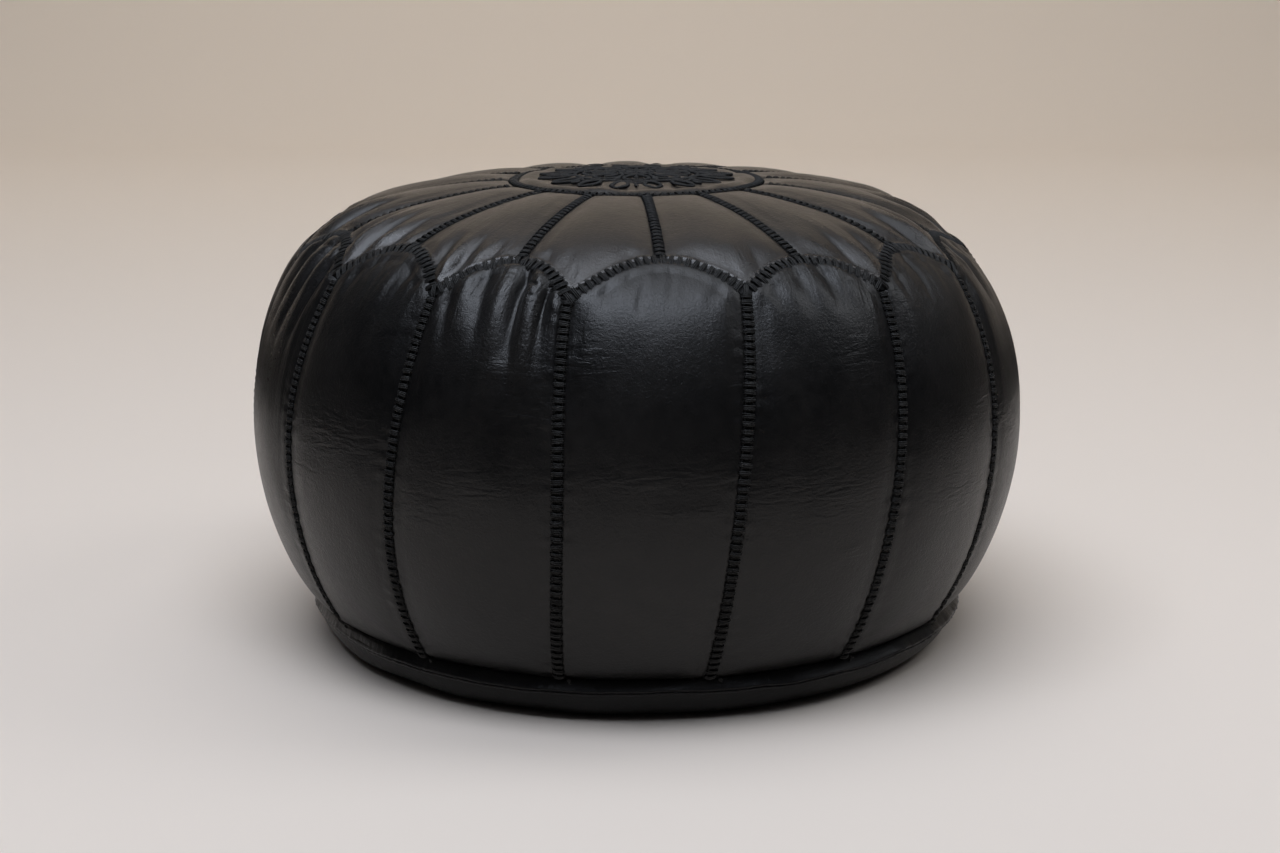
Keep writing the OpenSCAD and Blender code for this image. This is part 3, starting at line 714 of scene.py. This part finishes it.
def sew_leathers():
    moves = fill_out()
    for (kind, i, shape, (columns, rows), _), moved in zip(LEATHERS, moves):
        u, v = crowded(columns, -1, 1), crowded(rows, 0, 1)
        uu, vv = np.meshgrid(u, v)
        s, m, out, cut, marks, _, inset = shape(i, uu, vv)
        outer, inner = cover(s, m, out), cover(s, m, out - LEATHER_T)
        if moved is not None:
            up = spread(moved.shape[0], v)
            over = spread(moved.shape[1], (u + 1) / 2)
            shift = np.einsum("ra,abk,cb->rck", up, moved, over)
            shift *= rise(inset - 0.002, 0.011)[..., None] ** 1.5
            outer, inner = outer + shift, inner + shift
        cut = cut.reshape(-1, 2)
        name = f"{kind}_{i + 1:02d}"
        slot, material = LEATHER_KINDS[kind]
        piece = make_piece(
            name + "_leather", np.concatenate([outer.reshape(-1, 3), inner.reshape(-1, 3)]),
            sheet_faces(rows, columns), material,
            uv=np.concatenate([cut, cut]), **{k: np.tile(mark.ravel(), 2) for k, mark in marks.items()})
        finish_piece(piece, name)


def dome_z(r):
    dome_r = (MEDALLION_R ** 2 + MEDALLION_RISE ** 2) / (2 * MEDALLION_RISE)
    return MEDALLION_TOP - (dome_r - np.sqrt(dome_r ** 2 - r * r))


def medallion():
    rows, columns = 110, 240
    r = np.linspace(0.0006, MEDALLION_R - 0.0003, rows)
    outer = spun(np.column_stack([r, 0 * r]), columns)
    flat, r = outer[..., :2], r[:, None]
    outer[..., 2] = dome_z(r) + edge_dip(MEDALLION_R - r) + 0.0005 * waves(flat, 900, 0.035)
    outer[..., 2] += bulge(MEDALLION_R - r, 0.009, 0.005, 0.0012)
    inner = outer - np.array([0, 0, LEATHER_T])
    # The rows run outward over the top and back inward below, so the quads are turned over to face out
    skin, cut = np.concatenate([outer, inner[::-1]]), np.concatenate([flat, flat[::-1]])
    faces = [grid_faces(2 * rows, columns, wrap=True)[:, ::-1], end_faces(2 * rows, columns)[:, ::-1]]
    piece = make_piece("medallion_leather", skin.reshape(-1, 3), faces, CROWN_LEATHER_PAINTED_REFLECTION, uv=cut.reshape(-1, 2))
    finish_piece(piece, "medallion")


# ---- stitched bands ----

STITCH = 0.0049
THREAD_R, THREAD_GAP, GAP_THREAD_R = 0.00054, 0.00098, 0.00042
# Over a rung's length: how far it is pulled in over the cords under it, and its painted light: painted highlight on the
# raised pads between them, painted shade where it is pulled in and at its ends
RUNG_DIPS = np.array([0, 0, 0.00026, 0, 0.00026, 0, 0])
RUNG_PAINTED_LIGHT = np.array([-0.18, 0.16, -0.16, 0.22, -0.16, 0.16, -0.18])
# The stitches in the gaps: places across the band, reach from one rung to the next, and height
GAP_PLACES, GAP_REACH, GAP_LIFT = (-0.31, 0.30), np.linspace(0.34, 0.66, 3), np.array([-0.0004, 0.0001, -0.0004])
# Section of the core under the rungs, near black as painted shade: places across the band, and heights
CORE_X = np.array([-0.46, -0.3, 0.3, 0.46, 0.3, -0.3])
CORE_Z = np.array([-0.0012, -0.0004, -0.0004, -0.0012, -0.0018, -0.0018])


def read_path(at, run, points):
    return np.stack([np.interp(at, run, points[:, k]) for k in range(3)], -1)


def resample(points, normals, pitch, closed=False, taper=0.0):
    """Points about pitch apart along a path, with normals and directions; taper brings them closer to its end."""
    if closed:
        points, normals = np.concatenate([points, points[:1]]), np.concatenate([normals, normals[:1]])
    run = np.concatenate([[0], np.cumsum(np.linalg.norm(np.diff(points, axis=0), axis=1))])
    count = max(2, round(run[-1] / pitch))
    share = (np.arange(count) + (0.0 if closed else 0.5)) / count
    at = (share + taper * share * (1 - share)) * run[-1]
    n = unit(read_path(at, run, normals))
    t = unit(read_path(np.minimum(at + 0.001, run[-1]), run, points)
             - read_path(np.maximum(at - 0.001, 0), run, points))
    return read_path(at, run, points), n, unit(t - n * np.sum(t * n, -1, keepdims=True))


def set_off(start, side, up, x, z):
    """Points x to the side of start and z above it. Rows are places along a band, and columns are steps across it."""
    return start + x[..., None] * side[:, None] + z[..., None] * up[:, None]


def ladder(parts, points, normals, seed, width=BAND_W, closed=False, taper=0.0):
    """A ladder-stitch band along a path: rungs of three threads, stitches in the gaps, and a core under the rungs; the
    core and the gap stitches are near black as painted shade.
    """
    r = np.random.default_rng(seed)
    c, n, t = resample(points, normals, STITCH, closed, taper)
    side, count, x = np.cross(t, n), len(c), np.linspace(-1, 1, len(RUNG_DIPS))
    height = 0.00195 * (1 - np.abs(x) ** 2.8) - 0.0007 - RUNG_DIPS
    worn, askew = r.uniform(0.08, 0.38, (count, 1)), r.normal(0, 0.00022, count)
    for k in (-1, 0, 1):
        shift = k * THREAD_GAP + r.normal(0, 0.00008, (count, 1))
        tilt = np.outer(askew + r.normal(0, 0.00010, count), x)
        wide = np.outer(width / 2 * r.uniform(0.95, 1.06, count), x)
        lift = r.normal(0, 0.00007, (count, 1)) - 0.00016 * abs(k)
        start = (c + shift * t)[:, None] + tilt[..., None] * t[:, None]
        # Each rung's mark: a random fade, then painted highlight on its pads and painted shade at its dips and ends
        mark = worn + RUNG_PAINTED_LIGHT + r.uniform(-0.12, 0.12, (count, len(x)))
        parts.tubes(set_off(start, side, n, wide, height + lift), n[:, None],
                    THREAD_R * (1 - 0.3 * np.abs(x) ** 4), 5, mark)
    here, after = (c, np.roll(c, -1, axis=0)) if closed else (c[:-1], c[1:])
    side, up = side[:len(here)], n[:len(here)]
    for place in GAP_PLACES:
        start = here[:, None] + (after - here)[:, None] * GAP_REACH[:, None]
        path = set_off(start, side, up, np.array([place * width]), GAP_LIFT)
        # The gap stitches take a low mark, so they are near black: painted shade between the rungs
        parts.tubes(path, up[:, None], GAP_THREAD_R, 4, 0.04)
    # The core takes no mark, so it is near black: painted shade under the rungs
    c, n, t = resample(points, normals, 0.004, closed)
    core = set_off(c[:, None], np.cross(t, n), n, width * CORE_X, CORE_Z)
    rows, sides = core.shape[:2]
    walls = grid_faces(rows + closed, sides, wrap=True) % (rows * sides)
    parts.add(core.reshape(-1, 3), walls, () if closed else end_faces(rows, sides))


def thread_end(parts, place, normal, down, seed):
    """A small knot and a short tail, where a seam's thread is tied off."""
    r = np.random.default_rng(seed)
    side = np.cross(down, normal)
    turn = np.linspace(0, 4.2 * math.pi, 26)
    size = r.uniform(0.0007, 0.0011)
    knot = place + size * (np.cos(turn)[:, None] * side + np.sin(turn)[:, None] * down)
    knot = knot + (0.0008 + 0.0005 * np.sin(turn * 0.7))[:, None] * normal
    swing = r.uniform(-1, 1)
    t = np.linspace(0, 1, 8)[:, None]
    tail = knot[-1] + t * r.uniform(0.003, 0.007) * (0.5 * down + swing * side) + 0.0006 * np.sin(3 * t) * normal
    parts.tubes(np.concatenate([knot, tail[1:]])[None], normal, GAP_THREAD_R, 5, r.uniform(0.6, 1.0))


def seam_path(s, low, high):
    m = np.linspace(low, high, 160)
    line = np.full(len(m), float(s))
    return cover(line, m), cover_normal(line, m)


def finish_threads(parts, seam):
    finish_piece(parts.piece(seam + "_threads", THREAD), seam + "_stitching")


def side_seams():
    parts = Parts()
    for i in range(PANELS):
        foot = arch(np.array(float(i)))
        points, normals = seam_path(i, 0.002, foot - 0.013)
        ladder(parts, points, normals, 1000 + i, taper=0.12)
        down = unit(points[0] - points[4])
        beside = np.cross(normals[0], down)
        thread_end(parts, points[0] + 0.0065 * beside - 0.001 * down, normals[0], down, 1050 + i)
    finish_threads(parts, "side_seam")


def crown_seams():
    parts = Parts()
    for i in range(PANELS):
        low = arch(np.array(i + 0.5)) + 0.024
        points, normals = seam_path(i + 0.5, low, 1.965)
        ladder(parts, points, normals, 1100 + i, BAND_W * 0.92)
    finish_threads(parts, "crown_seam")


def shoulder_seam():
    parts = Parts()
    s = np.linspace(0, PANELS, PANELS * 60, endpoint=False)
    m = arch(s)
    ladder(parts, cover(s, m), cover_normal(s, m), 1200, BAND_W * 1.6, closed=True)
    finish_threads(parts, "shoulder_seam")


def medallion_ring():
    parts, way, ones = Parts(), circle(360), np.ones(360)
    points = np.column_stack([MEDALLION_R * way, MEDALLION_EDGE_Z * ones])
    normals = unit(np.column_stack([math.sin(SLOPE) * way, ones]))
    ladder(parts, points, normals, 1300, BAND_W * 0.9, closed=True)
    finish_threads(parts, "medallion_ring")


# ---- the medallion's embroidery ----

SATIN_PITCH, SATIN_R = 0.00075, 0.00042


def satin(parts, line, width, seed, closed=False):
    """A raised line of satin stitch on the medallion along a plan outline (points in x, y)."""
    r = np.random.default_rng(seed)
    points = np.column_stack([line, dome_z(np.hypot(line[:, 0], line[:, 1]))])
    normals = np.tile([0.0, 0.0, 1.0], (len(points), 1))
    c, n, t = resample(points, normals, SATIN_PITCH, closed)
    x, count = np.linspace(-1, 1, 5), len(c)
    widths = np.interp(np.linspace(0, 1, count), np.linspace(0, 1, len(width)), width)
    wide = np.outer(widths / 2 * r.uniform(0.9, 1.08, count), x)
    path = set_off(c[:, None], np.cross(t, n), n, wide, 0.0013 * (1 - x * x) + 0.0001)
    path = path + r.normal(0, 0.00007, (count, 1, 1)) * t[:, None]
    # Each stitch's mark: a random tone, lighter along the raised middle of the line as painted highlight
    mark = r.uniform(0.25, 0.5) + 0.3 * (1 - x * x)[None] + r.uniform(-0.12, 0.12, (count, 1))
    parts.tubes(path, n[:, None], SATIN_R, 4, mark)


def turned(points, angle):
    c, s = math.cos(angle), math.sin(angle)
    return points @ np.array([[c, s], [-s, c]])


def medallion_embroidery():
    """Rings and an eight-pointed star with petals, inside sixteen leaves, each line with a seed of its own."""
    parts = Parts()
    eighth = math.pi / 4

    def pair(line, angle, widths, seed):
        for mirrored in (0, 1):
            satin(parts, turned(line * [1, 2 * mirrored - 1], angle), widths, seed + mirrored)

    t = np.linspace(0, 1, 12)
    leaf = np.column_stack([0.043 + 0.024 * t, 0.0052 * np.sin(math.pi * t) ** 0.8])
    for k in range(16):
        pair(leaf, (k + 0.5) * eighth / 2, [0.0010, 0.0026, 0.0026, 0.0010], 2000 + 2 * k)
    star = np.array([[0.050, 0.0], turned(np.array([0.040, 0.0]), eighth / 2)])
    t = np.linspace(0, math.pi, 16)
    petal = np.column_stack([0.0135 + 0.0225 * np.sin(t / 2) ** 1.2, 0.0085 * np.sin(t) ** 0.9])
    for k in range(8):
        a = k * eighth
        pair(star, a, [0.0024, 0.0024], 2100 + 2 * k)
        pair(petal, a, [0.0014, 0.0026, 0.0018], 2200 + 2 * k)
        for start, end, angle, widths, seed in (
            (0.0180, 0.0300, a, [0.0012, 0.0034, 0.0012], 2300),
            (0.0285, 0.0375, a + eighth / 2, [0.0012, 0.0050, 0.0012], 2400),
            (0.0525, 0.0605, a, [0.0010, 0.0030, 0.0008], 2500),
            (0.0015, 0.0095, a, [0.0008, 0.0030, 0.0010], 2700),
        ):
            satin(parts, turned(np.array([[start, 0.0], [end, 0.0]]), angle), widths, seed + k)
    for radius, seed in ((0.0115, 2601), (0.0415, 2602)):
        satin(parts, radius * circle(90), [0.0022, 0.0022], seed, closed=True)
    finish_piece(parts.piece("medallion_embroidery_threads", EMBROIDERY),
                 "medallion_embroidery")


# ---- base ----

BASE_FLAT_R, BASE_RIM_R = 0.199, 0.024
RECESS_HALF_W = 0.013
FACING_Z = 0.0147
ZIP_HALF_L = 0.2
TOPSTITCH, TOPSTITCH_ROWS = 0.0036, (0.0030, 0.0085)
# One of its stitches: places along it and heights
TOPSTITCH_X = np.array([-0.42, -0.25, 0.0, 0.25, 0.42]) * TOPSTITCH
TOPSTITCH_Z = [0.0014, 0.0006, 0.0004, 0.0006, 0.0014]


def base_profile(steps_flat, steps_rim):
    """[radius, height] of the base leather's outer face from near the middle out and up to the lip."""
    flat = np.column_stack([np.linspace(0.0, BASE_FLAT_R, steps_flat), np.zeros(steps_flat)])
    a = np.radians(np.linspace(-90, -4, steps_rim + 1))[1:]
    rim = np.column_stack([BASE_FLAT_R + BASE_RIM_R * np.cos(a), BASE_RIM_R + BASE_RIM_R * np.sin(a)])
    return np.concatenate([flat, rim])


# Half sections of the lip's two leathers, [radius, height], from inside the seam out to the edge and back
LIP_UPPER = [(0.2190, 0.0292), (0.2209, 0.0282), (0.2222, 0.0266), (0.2236, 0.0247), (0.2248, 0.0231),
             (0.2254, 0.0222), (0.2250, 0.0216), (0.2240, 0.0222), (0.2226, 0.0238), (0.2208, 0.0257), (0.2190, 0.0270)]
LIP_LOWER = [(0.2190, 0.0264), (0.2208, 0.0251), (0.2224, 0.0233), (0.2237, 0.0217), (0.2247, 0.0208),
             (0.2249, 0.0200), (0.2243, 0.0195), (0.2232, 0.0202), (0.2216, 0.0219), (0.2200, 0.0236), (0.2190, 0.0245)]
# On one side the skirt is pressed in against the base: angle, and how far that reaches
LIP_PRESSED, LIP_PRESSED_REACH = math.radians(212), math.radians(34)
# The skirt waves more and more from here out
LIP_ROOT_R, LIP_REACH = 0.2205, 0.0045


def base_lip():
    """Two raw leather edges sewn together, which stand out round the base seam in a short, wavy skirt."""
    columns, parts = 900, Parts()
    way = circle(columns)
    wave, ripple = waves(way, 31, 0.9), waves(way, 32, 0.16)
    pressed = bulge(np.arange(columns) * 2 * math.pi / columns, LIP_PRESSED, LIP_PRESSED_REACH)
    for section, seed in ((LIP_UPPER, 33), (LIP_LOWER, 34)):
        r, z = np.array(section).T[..., None]
        share = rise(r - LIP_ROOT_R, LIP_REACH) ** 1.5
        fray = 0.00016 * waves(way, seed, 0.03)
        radius = r + share * (0.0005 + 0.0006 * wave + 0.00035 * ripple + fray - 0.0023 * pressed)
        height = z + share * (0.0005 * ripple - 0.0003 * wave - 0.0008 * pressed)
        ring = np.concatenate([radius[..., None] * way, height[..., None]], -1).reshape(-1, 3)
        quads = grid_faces(len(section) + 1, columns, wrap=True) % len(ring)
        # The mark rises towards the skirt's outer edge, which is lighter there: painted edge highlight
        parts.add(ring, quads, mark=np.clip(np.repeat(share, columns) * 2 - 1, 0, 1))
    piece = parts.piece("base_lip_leather", BASE_LEATHER_PAINTED_SHADE, mark="rub_and_highlight", uv=np.zeros((parts.total, 2)))
    finish_piece(piece, "base_lip")


def bar(parts, half_length, sign, section, ends):
    """Add a bar along x with a closed section of [y, z] points, turned over by sign, and quads over its ends."""
    section, ends, steps = np.array(section), np.array(ends), 90
    points = np.zeros((steps, len(section), 3))
    points[..., 0] = np.linspace(-half_length, half_length, steps)[:, None]
    points[..., 1], points[..., 2] = sign * section[:, 0], section[:, 1]
    faces = np.concatenate([
        grid_faces(steps, len(section), wrap=True), ends[:, ::-1], ends + (steps - 1) * len(section)])
    parts.add(points.reshape(-1, 3), faces[:, ::-1] if sign > 0 else faces)


def base_panel(sign, name):
    """Half of the base: a flat half disc with a turned-up rim, and its edge turned up beside the zip."""
    columns, profile = 150, base_profile(46, 18)
    radius = np.maximum(profile[:, :1], RECESS_HALF_W * 1.02)
    edge = np.arcsin(RECESS_HALF_W / radius)
    a = edge + (math.pi - 2 * edge) * np.linspace(0, 1, columns)
    flat = np.stack([radius * np.cos(a), sign * radius * np.sin(a)], -1)
    r, beside = np.hypot(flat[..., 0], flat[..., 1]), np.abs(flat[..., 1])
    lift = 0.0012 * np.clip(waves(flat, 61, 0.07), 0, 3) * rise(0.19 - r, 0.05) * rise(beside - RECESS_HALF_W, 0.01)
    # The sewn edges beside the zip lie a little higher than the rest
    sewn = 0.0009 * rise(0.034 - beside, 0.010) * rise(0.208 - r, 0.008)
    z = profile[:, 1:] + (lift + sewn)
    rim = rise(r - BASE_FLAT_R, 0.01) * rise(0.021 - z, 0.01)
    z += 0.0004 * rim * waves(np.arctan2(flat[..., 1], flat[..., 0])[..., None], 62, 0.5)
    outer = np.concatenate([flat, z[..., None]], -1)
    inner = outer + np.array([0, 0, LEATHER_T])
    inner[..., :2] -= flat / r[..., None] * LEATHER_T * rise(r - BASE_FLAT_R, BASE_RIM_R)[..., None]
    faces = sheet_faces(len(profile), columns)[0]
    parts = Parts()
    parts.add(np.concatenate([outer, inner]).reshape(-1, 3), faces[:, ::-1] if sign > 0 else faces)
    # The turned-up edge beside the zip
    near, top = RECESS_HALF_W, TAPE_Z - 0.0004
    bar(parts, ZIP_HALF_L, sign, [
        (near, 0.0003), (near + 0.0004, top), (near + 0.0024, top), (near + 0.0020, 0.0006)], [[0, 1, 2, 3]])
    # The facing behind the zip: it stands on the tape and closes half of the gap, the front half below the back one
    foot, low = TAPE_Z + 0.0005, FACING_Z + (0.0 if sign < 0 else 0.0004)
    high = low + 0.0003
    bar(parts, 0.95 * ZIP_HALF_L, sign, [
        (0.0163, foot), (0.0163, low), (-0.0010, low), (-0.0010, high), (0.0168, high), (0.0168, foot),
    ], [[0, 1, 4, 5], [1, 2, 3, 4]])
    # Two rows of topstitching beside the zip
    at = np.arange(0.004 - ZIP_HALF_L, ZIP_HALF_L, TOPSTITCH)
    for row in TOPSTITCH_ROWS:
        path = np.zeros((len(at), len(TOPSTITCH_X), 3))
        path[..., 0] = at[:, None] + TOPSTITCH_X
        path[..., 1], path[..., 2] = sign * (RECESS_HALF_W + row), TOPSTITCH_Z
        parts.tubes(path, [0.0, 0.0, -1.0], 0.0004, 5)
    uv = np.zeros((parts.total, 2))
    uv[:2 * r.size] = np.tile(flat.reshape(-1, 2), (2, 1))
    finish_piece(parts.piece(name + "_leather", BASE_LEATHER_PAINTED_SHADE, uv=uv), name)


# ---- inside ----

GROOVE_HALF_W, GROOVE_TOP = 0.0185, 0.0158
# Rows of points of a skin along the floor, round the rim, up the cover and over the top, and points in a row
FLOOR_ROWS, RIM_ROWS, COVER_ROWS, TOP_ROWS, INSIDE_COLUMNS = 15, 10, 39, 8, 180
# Lowest points of the liner bag
LINER_LOW = 0.0054


def inside_skin(low, high, seed, lump, length):
    """A closed skin inside the cover, low above the floor and high in from the sides, with lumps."""
    a = np.radians(np.linspace(-90, 0, RIM_ROWS))
    flat = np.column_stack([np.linspace(0.001, BASE_FLAT_R, FLOOR_ROWS + 1), np.full(FLOOR_ROWS + 1, low)])[:-1]
    rim = np.column_stack([
        BASE_FLAT_R + (BASE_RIM_R - high) * np.cos(a), low + (BASE_RIM_R + 0.006 - low) * (1 + np.sin(a))])
    m = np.linspace(0.04, 2, COVER_ROWS)
    wall = outline(m) - high * outline_normal(m)
    r = np.linspace(wall[-1, 0], 0.001, TOP_ROWS + 1)[1:]
    profile = np.concatenate([flat, rim, wall, np.column_stack([r, dome_z(r) - high])])
    points = spun(profile, INSIDE_COLUMNS)
    calm = rise(points[..., 2] - 0.02, 0.03)
    points -= unit(points - np.array([0, 0, 0.15])) * (calm * np.abs(lump * waves(points, seed, length)))[..., None]
    # The skin lifts over the zip
    beside = rise(np.abs(points[..., 1]) - GROOVE_HALF_W, 0.003)
    raised = GROOVE_TOP + low - LINER_LOW
    points[..., 2] = np.maximum(points[..., 2], raised - (raised - low) * beside)
    size = len(profile), INSIDE_COLUMNS
    return points.reshape(-1, 3), grid_faces(*size, wrap=True), end_faces(*size)


def fill_inside():
    """The cloth bag that holds the filling, and the filling."""
    bag, lumps = Parts(), Parts()
    for low, high, way in ((LINER_LOW, 0.0082, 1), (LINER_LOW + 0.0008, 0.0090, -1)):
        points, quads, caps = inside_skin(low, high, 71, 0.0016, 0.05)
        bag.add(points, quads[:, ::way], caps[:, ::way])
    finish_piece(bag.piece("inner_liner_bag", LINER), "inner_liner")
    lumps.add(*inside_skin(0.0072, 0.0120, 72, 0.0030, 0.035))
    finish_piece(lumps.piece("stuffing_mass", STUFFING), "stuffing")


# ---- stage, camera and light ----

# The camera's lens in millimetres for a 36 mm sensor, its place, and how far it looks down and to the side
LENS, CAMERA_PLACE, LOOK_DOWN, LOOK_ASIDE = 58.6, (0, -1.4113, 0.4701), 0.2337, -0.0018


def make_camera():
    """The photograph's viewpoint: low, in front, looking slightly down."""
    data = bpy.data.cameras.new("camera")
    data.sensor_width = 36
    data.lens = LENS
    data.clip_start, data.clip_end = 0.05, 50
    camera = bpy.data.objects.new("camera", data)
    camera.location = CAMERA_PLACE
    camera.rotation_euler = (math.pi / 2 - LOOK_DOWN, 0, LOOK_ASIDE)
    bpy.context.scene.collection.objects.link(camera)
    bpy.context.scene.camera = camera


# The floor's lit part ends NEAR_FLOOR_R from the middle, and the backdrop curves up at BACK_Y. From GLOW_START out
# to GLOW_END the floor takes on a faint light of its own, so it stays pale far out, but not towards the backdrop.
NEAR_FLOOR_R, FLOOR_REACH, BACK_Y, BACK_CURVE_R, BACK_TOP = 1.0, 7.0, 3.2, 1.2, 4.5
GLOW_START, GLOW_END, GLOW_BACK_Y, GLOW = 1.6, 4.5, 1.2, 0.34


def make_stage():
    """A plain pale floor in two pieces, and a backdrop that it curves up into far behind.

    The gloss of the leather mirrors only the near floor, as in a room that is dark further off."""
    m, tree, shader = new_material("stage")
    feed(tree, shader, {
        "Base Color": (0.74, 0.66, 0.58, 1), "Roughness": 0.9, "Specular IOR Level": 0.1,
        "Emission Color": (1.0, 0.96, 0.90, 1), "Emission Strength": mark_of(tree, "glow")})
    columns, steps = 96, 14
    way = circle(columns)
    rings = np.concatenate([[0.02], np.linspace(0.3, NEAR_FLOOR_R, 6)])
    near = spun(np.column_stack([rings, 0 * rings]), columns).reshape(-1, 3)
    edge = FLOOR_REACH * way / np.abs(way).max(1, keepdims=True)
    edge[:, 1] = np.minimum(edge[:, 1], BACK_Y)
    share = np.linspace(0, 1, steps)[:, None, None]
    far = (NEAR_FLOOR_R * way * (1 - share) + edge * share).reshape(-1, 2)
    glow = GLOW * rise(np.hypot(far[:, 0], far[:, 1]) - GLOW_START, GLOW_END - GLOW_START)
    a = np.radians(np.linspace(-90, 0, 24))
    y = np.concatenate([[BACK_Y], BACK_Y + BACK_CURVE_R * np.cos(a), [BACK_Y + BACK_CURVE_R]])
    z = np.concatenate([[0.0], BACK_CURVE_R + BACK_CURVE_R * np.sin(a), [BACK_TOP]])
    wall = np.array([[x, yy, zz] for yy, zz in zip(y, z) for x in (-FLOOR_REACH, FLOOR_REACH)])
    for name, points, faces, light in (
        ("near_floor", near, [grid_faces(len(rings), columns, wrap=True)[:, ::-1], np.arange(columns)[None]], 0.0),
        ("far_floor", np.column_stack([far, np.zeros(len(far))]), [grid_faces(steps, columns, wrap=True)[:, ::-1]],
         glow * rise(GLOW_BACK_Y - far[:, 1], GLOW_BACK_Y)),
        ("backdrop", wall, [grid_faces(len(y), 2)], 0.0),
    ):
        piece = make_piece(name, points, faces, m, glow=np.broadcast_to(light, len(points)))
        piece.visible_glossy = name != "far_floor"


def area_light(name, place, target, size, power, colour, mirrored=True):
    data = bpy.data.lights.new(name, "AREA")
    data.shape = "RECTANGLE"
    data.size, data.size_y = size
    data.energy = power
    data.color = colour
    light = bpy.data.objects.new(name, data)
    light.location = place
    light.rotation_euler = (Vector(target) - Vector(place)).to_track_quat("-Z", "Y").to_euler()
    light.visible_glossy = mirrored
    bpy.context.scene.collection.objects.link(light)


def make_light():
    """Soft light from above and in front; the gloss sees a dark room at eye level and a pale ceiling."""
    world = bpy.data.worlds.new("world")
    bpy.context.scene.world = world
    world.use_nodes = True
    tree = world.node_tree
    background = tree.nodes["Background"]
    direction = node(tree, "ShaderNodeTexCoord").outputs["Generated"]
    height = node(tree, "ShaderNodeSeparateXYZ", {"Vector": direction}).outputs["Z"]
    room = ramp(tree, height, [
        (0.0, (0.006, 0.006, 0.006)), (0.30, (0.010, 0.010, 0.011)), (0.70, (0.03, 0.032, 0.036)),
        (0.86, (0.34, 0.36, 0.40)), (1.0, (0.80, 0.80, 0.82))])
    seen = node(tree, "ShaderNodeLightPath").outputs["Is Camera Ray"]
    colour = node(tree, "ShaderNodeMix", {"Factor": seen, "A": room, "B": (0.47, 0.44, 0.40, 1)}, data_type="RGBA")
    tree.links.new(colour.outputs["Result"], background.inputs["Color"])
    background.inputs["Strength"].default_value = 1.0
    area_light("window", (-0.25, -0.96, 2.50), (0, -0.2, 0.25), (2.3, 1.05), 49, (0.80, 0.87, 1.0))
    area_light("skylight", (-0.1, 0.25, 2.55), (-0.1, 0.05, 0.25), (2.4, 0.9), 12, (0.86, 0.91, 1.0))
    area_light("ceiling", (0.0, 0.3, 2.7), (0, 0, 0), (2.2, 2.2), 1, (1.0, 0.97, 0.92), False)
    area_light("side_window", (1.75, 0.05, 1.85), (0.1, -0.15, 0.25), (0.9, 1.0), 9, (0.92, 0.95, 1.0))
    area_light("backdrop_light", (0, 1.8, 3.6), (0, 4.4, 2.2), (4.5, 1.0), 73, (1.0, 0.94, 0.85), False)
    bpy.context.scene.view_settings.view_transform = "Standard"


make_camera()
make_stage()
make_light()

sew_leathers()
medallion()
side_seams()
crown_seams()
shoulder_seam()
medallion_ring()
medallion_embroidery()
base_lip()
base_panel(-1, "base_panel_front")
base_panel(1, "base_panel_back")
fill_inside()

for names, material in (
    (("zip_end_patch_left", "zip_end_patch_right"), BASE_LEATHER_PAINTED_SHADE), (("zip_tape_front", "zip_tape_back"), TAPE),
    (("zip_teeth_front", "zip_teeth_back"), TEETH),
    (("zip_stop_closed_end", "zip_stop_open_end", "zip_slider", "zip_slider_pin", "zip_pull_tab"), METAL),
):
    for name in names:
        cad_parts[name].data.materials.clear()
        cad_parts[name].data.materials.append(material)
